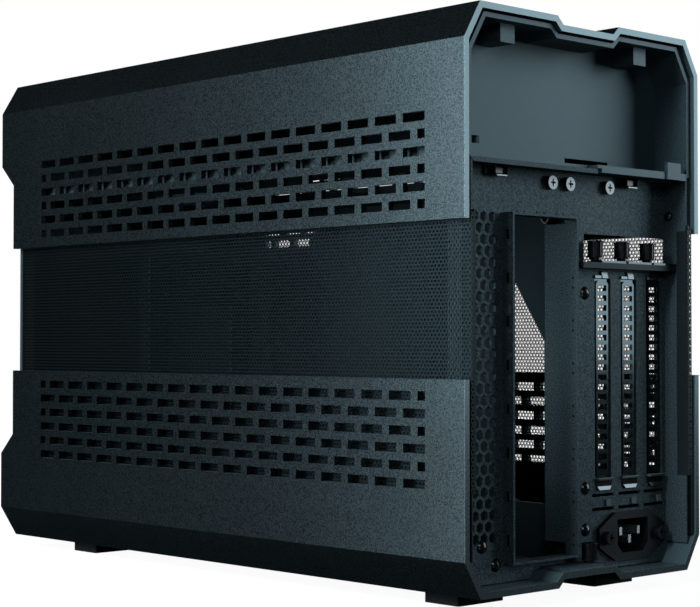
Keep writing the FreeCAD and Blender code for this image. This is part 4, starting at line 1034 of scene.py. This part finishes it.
@dataclass
class CollarMarks:
    """The small slots and holes around the board opening's collar, their dark insides painted shade."""

    slot_x: float = 44.25 * MM
    slot_y: float = 173.8 * MM
    slot_low: float = 29.7 * MM
    slot_step: float = 19.95 * MM
    slot_count: int = 8
    rim_across: Span = (-0.1 * MM, 0.35 * MM)
    rim_half: Span = (1.3 * MM, 2.8 * MM)
    rim_edge: float = 0.12 * MM
    rim_border: float = 0.3 * MM
    pit_across: Span = (0.0, 0.2 * MM)
    pit_half: Span = (0.95 * MM, 2.4 * MM)
    pit_edge: float = 0.08 * MM
    dot_wide: float = 1.3 * MM
    dot_deep: float = 0.25 * MM
    dot_sides: int = 12
    dot_x: float = 34.4 * MM
    dot_z: float = 180.4 * MM
    dot_pair: float = 5.05 * MM
    dot_step: float = 14.1 * MM
    dot_pairs: int = 3
    wall_x: float = -1.4 * MM
    wall_y: float = 174.2 * MM
    wall_low: float = 24.0 * MM
    wall_pair: float = 4.6 * MM
    wall_step: float = 20.3 * MM
    wall_pairs: int = 7

    def build(self, book: FinishBook) -> None:
        """Models the marks, with painted shade in the pits and dots.

        Args:
            book: The materials.
        """
        rims = self.plaque("rim", self.rim_across, self.rim_half, self.rim_edge)
        Bench.sink(rims, Way.LEFT, self.rim_border, self.rim_border)
        rims.name = "collar_slots"
        pits = self.plaque("pit", self.pit_across, self.pit_half, self.pit_edge)
        for piece in (rims, pits):
            Bench.repeat(piece, Way.UP.step(self.slot_step), self.slot_count)
        above = Bench.dome("dot", (self.dot_x, PLATE_Y, self.dot_z),
                           (self.dot_wide, self.dot_deep, self.dot_wide), Way.REAR, self.dot_sides)
        Bench.repeat(above, Way.RIGHT.step(self.dot_pair), 2)
        Bench.repeat(above, Way.RIGHT.step(self.dot_step), self.dot_pairs)
        beside = Bench.dome("dot", (self.wall_x, self.wall_y, self.wall_low),
                            (self.dot_deep, self.dot_wide, self.dot_wide), Way.LEFT, self.dot_sides)
        Bench.repeat(beside, Way.UP.step(self.wall_pair), 2)
        Bench.repeat(beside, Way.UP.step(self.wall_step), self.wall_pairs)
        Bench.dress(rims, book.slot("steel"), "steel", Body.CHASSIS)
        holes = Bench.join([pits, above, beside], "collar_hole_shades")
        Bench.dress(holes, book.plain(PAINTED_SHADE), "steel", Body.CHASSIS)

    def plaque(self, name: str, across: Span, half: Span, edge: float) -> Object:
        """A small plaque on the collar, where its lowest slot is.

        Args:
            name: The plaque's name.
            across: Its ends along X, from the collar's face.
            half: Half of its size along Y and along Z.
            edge: Width of its rounding.

        Returns:
            The plaque.
        """
        return Bench.box(name, (self.slot_x + across[0], self.slot_y - half[0], self.slot_low - half[1]),
                         (self.slot_x + across[1], self.slot_y + half[0], self.slot_low + half[1]), edge)


@dataclass
class SideRivet:
    """A black rivet on the plate's right flange."""

    place: Point = (-78.4 * MM, 173.0 * MM, 183.4 * MM)
    wide: float = 4.8 * MM
    rise: float = 1.8 * MM
    sides: int = 28

    def build(self, book: FinishBook) -> None:
        """Models the rivet's domed head.

        Args:
            book: The materials.
        """
        rivet = Bench.dome("side_rivet", self.place, (2 * self.rise, self.wide, self.wide), Way.LEFT,
                           self.sides)
        Bench.dress(rivet, book.slot("black_screws"), "black_screws", Body.CHASSIS)


@dataclass
class LedgeClips:
    """Two spring clips under the bracket's ledge, dark, with a painted highlight along each lower edge."""

    places: Span = (49.8 * MM, -46.6 * MM)
    half: float = 4.6 * MM
    low: float = 195.9 * MM
    high: float = 200.6 * MM
    front: float = 171.8 * MM
    rear: float = 174.6 * MM
    edge: float = 0.4 * MM
    border: float = 0.7 * MM
    hollow: float = 1.2 * MM
    lip_low: Point = (0.5 * MM, -0.4 * MM, -0.3 * MM)
    lip_high: Point = (-1.5 * MM, 0.2 * MM, 0.5 * MM)
    lip_edge: float = 0.15 * MM

    def build(self, book: FinishBook) -> None:
        """Models the clips and their bright lips, a painted highlight, which start from the clips' lower rear
        corners.

        Args:
            book: The materials.
        """
        first, second = self.places
        right = first - self.half
        left = first + self.half
        clips = Bench.box("ledge_clips", (right, self.front, self.low), (left, self.rear, self.high),
                          self.edge)
        Bench.sink(clips, Way.REAR, self.border, self.hollow)
        lip_low = tuple(a + b for a, b in zip((right, self.rear, self.low), self.lip_low))
        lip_high = tuple(a + b for a, b in zip((left, self.rear, self.low), self.lip_high))
        lips = Bench.box("ledge_clip_glints", lip_low, lip_high, self.lip_edge)
        for piece in (clips, lips):
            Bench.repeat(piece, (second - first, 0.0, 0.0), 2)
        Bench.dress(clips, book.slot("black_screws"), "black_screws", Body.CHASSIS)
        Bench.dress(lips, book.plain(GLINT_METAL), "contact", Body.CHASSIS)


@dataclass
class BayPocket:
    """A shallow tray of painted shade behind the slot in the rear bay's wall."""

    low: Point = (-43.0 * MM, 156.5 * MM, 203.4 * MM)
    high: Point = (-6.0 * MM, 161.5 * MM, 211.0 * MM)
    wall: float = 1.0 * MM
    edge: float = 0.2 * MM

    def build(self, book: FinishBook) -> None:
        """Models the tray, open to the wall.

        Args:
            book: The materials.
        """
        tray = Bench.box("bay_pocket", self.low, self.high, self.edge)
        Bench.sink(tray, Way.REAR, self.wall, self.high[1] - self.low[1] - self.wall)
        Bench.dress(tray, book.plain(PAINTED_SHADE), "bay_plastic", Body.TOP_COVER)


@dataclass
class InnerRail:
    """A folded rail inside the right wall, beside the radiator bracket."""

    low: Point = (-82.4 * MM, -160.0 * MM, 188.0 * MM)
    high: Point = (-81.2 * MM, 150.0 * MM, 209.8 * MM)
    border: float = 4.0 * MM
    fold: float = 0.5 * MM
    edge: float = 0.2 * MM

    def build(self, book: FinishBook) -> None:
        """Models the rail with a pressed channel along it.

        Args:
            book: The materials.
        """
        rail = Bench.box("inner_rail", self.low, self.high, self.edge)
        Bench.sink(rail, Way.LEFT, self.border, self.fold)
        Bench.dress(rail, book.slot("shell"), "shell", Body.TOP_COVER)


@dataclass(frozen=True)
class Lamp:
    """A soft rectangular lamp."""

    name: str
    place: Point
    aim: Point
    size: Span
    power: float
    colour: Colour = (0.82, 0.94, 1.0)

    def build(self) -> None:
        """Adds the lamp to the scene."""
        data = bpy.data.lights.new(self.name, "AREA")
        data.shape = "RECTANGLE"
        data.size, data.size_y = self.size
        data.energy = self.power
        data.color = self.colour
        lamp = bpy.data.objects.new(self.name, data)
        lamp.location = self.place
        lamp.rotation_mode = "QUATERNION"
        lamp.rotation_quaternion = (Vector(self.aim) - Vector(self.place)).to_track_quat("-Z", "Y")
        bpy.context.scene.collection.objects.link(lamp)


LAMPS = (
    Lamp("rear_softbox", (-1.44, 1.11, 0.61), (0.0, 0.17, 0.15), (1.05, 1.06), 20.0),
    Lamp("side_softbox", (1.16, -0.45, 0.50), (0.086, 0.15, 0.17), (0.46, 1.0), 27.0),
    Lamp("back_softbox", (-1.60, -1.50, 0.85), (0.0, 0.0, 0.14), (0.9, 0.9), 40.0),
    Lamp("front_softbox", (1.30, 1.75, 0.95), (0.0, 0.17, 0.15), (0.6, 0.6), 13.0),
    Lamp("fill_softbox", (1.69, 0.33, 0.95), (0.0, 0.17, 0.15), (0.25, 0.8), 47.0),
)


@dataclass
class Studio:
    """The pale floor, soft lamps, white surround and camera."""

    eye: Point = (0.65454, 0.71476, 0.11984)
    look: Point = (-0.68639, -0.72690, 0.02184)
    lens_mm: float = 91.436
    sensor_mm: float = 36.0
    clip_start: float = 0.01
    ambient: float = 0.008
    glossy_share: float = 0.01
    floor_size: float = 40.0
    floor_matt: float = 0.05
    floor_glow: float = 0.95
    glow_reach: Span = (0.3, 1.5)
    shine_start: float = 0.1
    shine_level: float = 0.42
    shine_roughness: float = 0.2

    def build(self) -> None:
        """Sets the scene up around the case."""
        self.camera()
        self.surround()
        self.floor()
        for lamp in LAMPS:
            lamp.build()
        bpy.context.scene.view_settings.view_transform = "Standard"

    def camera(self) -> None:
        """The camera at the photograph's place and angle."""
        data = bpy.data.cameras.new("camera")
        data.lens = self.lens_mm
        data.sensor_width = self.sensor_mm
        data.sensor_fit = "HORIZONTAL"
        data.clip_start = self.clip_start
        camera = bpy.data.objects.new("camera", data)
        camera.location = self.eye
        camera.rotation_mode = "QUATERNION"
        camera.rotation_quaternion = Vector(self.look).to_track_quat("-Z", "Y")
        bpy.context.scene.collection.objects.link(camera)
        bpy.context.scene.camera = camera

    def seen(self, tree: NodeTree) -> Socket:
        """How much of the white surround a ray meets: all from the camera and through glass, some in gloss.

        Args:
            tree: The nodes to add to.

        Returns:
            The socket that gives the share.
        """
        path = tree.nodes.new("ShaderNodeLightPath").outputs
        gloss = Wires.number(tree, "MULTIPLY", path["Is Glossy Ray"], self.glossy_share)
        direct = Wires.number(tree, "MAXIMUM", path["Is Camera Ray"], path["Is Transmission Ray"])
        return Wires.number(tree, "MAXIMUM", direct, gloss)

    def surround(self) -> None:
        """A white surround for the camera, and a dark grey one for the light."""
        world = bpy.data.worlds.new("surround")
        bpy.context.scene.world = world
        world.use_nodes = True
        tree = world.node_tree
        tree.nodes.clear()
        plain = tree.nodes.new("ShaderNodeBackground")
        plain.inputs["Color"].default_value = Wires.grey(self.ambient)
        white = tree.nodes.new("ShaderNodeBackground")
        white.inputs["Color"].default_value = Wires.grey(1.0)
        both = tree.nodes.new("ShaderNodeMixShader")
        out = tree.nodes.new("ShaderNodeOutputWorld")
        tree.links.new(self.seen(tree), both.inputs["Fac"])
        tree.links.new(plain.outputs["Background"], both.inputs[1])
        tree.links.new(white.outputs["Background"], both.inputs[2])
        tree.links.new(both.outputs["Shader"], out.inputs["Surface"])

    def falloff(self, tree: NodeTree) -> Socket:
        """The floor's own glow, which grows to white away from the case.

        Args:
            tree: The nodes to add to.

        Returns:
            The socket that gives the glow.
        """
        away = tree.nodes.new("ShaderNodeVectorMath")
        away.operation = "LENGTH"
        tree.links.new(Wires.place(tree), away.inputs[0])
        return Wires.ramp(tree, away.outputs["Value"], self.glow_reach, (self.floor_glow, 1.0))

    def shine(self, tree: NodeTree) -> Socket:
        """Where the floor is polished: beside the case, and only for glossy rays.

        Args:
            tree: The nodes to add to.

        Returns:
            The socket that gives the share.
        """
        beside = Wires.past(tree, Wires.place(tree), "X", self.shine_start)
        path = tree.nodes.new("ShaderNodeLightPath").outputs
        return Wires.number(tree, "MULTIPLY", beside, path["Is Glossy Ray"])

    def floor(self) -> None:
        """A pale floor that keeps the shadow."""
        Bench.clear()
        bpy.ops.mesh.primitive_plane_add(size=self.floor_size, location=(0.0, 0.0, 0.0))
        floor = Bench.start("floor")
        material = bpy.data.materials.new("floor_paint")
        material.use_nodes = True
        tree = material.node_tree
        tree.nodes.clear()
        matt = tree.nodes.new("ShaderNodeBsdfDiffuse")
        matt.inputs["Color"].default_value = Wires.grey(self.floor_matt)
        glow = tree.nodes.new("ShaderNodeEmission")
        level = Wires.number(tree, "MULTIPLY", self.seen(tree), self.falloff(tree))
        tree.links.new(level, glow.inputs["Strength"])
        both = tree.nodes.new("ShaderNodeAddShader")
        tree.links.new(matt.outputs["BSDF"], both.inputs[0])
        tree.links.new(glow.outputs["Emission"], both.inputs[1])
        polish = tree.nodes.new("ShaderNodeBsdfGlossy")
        polish.inputs["Color"].default_value = Wires.grey(self.shine_level)
        polish.inputs["Roughness"].default_value = self.shine_roughness
        surface = tree.nodes.new("ShaderNodeMixShader")
        tree.links.new(self.shine(tree), surface.inputs["Fac"])
        tree.links.new(both.outputs["Shader"], surface.inputs[1])
        tree.links.new(polish.outputs["BSDF"], surface.inputs[2])
        out = tree.nodes.new("ShaderNodeOutputMaterial")
        tree.links.new(surface.outputs["Shader"], out.inputs["Surface"])
        floor.data.materials.append(material)


def main() -> None:
    """Builds the sub-assemblies in order."""
    logging.basicConfig(level=logging.INFO, format="%(name)s: %(message)s")
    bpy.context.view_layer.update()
    book = FinishBook()
    book.dress_nodes()
    for assembly in (MeshPanel(Way.LEFT), MeshPanel(Way.RIGHT), Thumbscrews(), SlotTrim(), CollarMarks(),
                     SideRivet(), LedgeClips(), BayPocket(), InnerRail()):
        assembly.build(book)
    Studio().build()


if __name__ == "__main__":
    main()
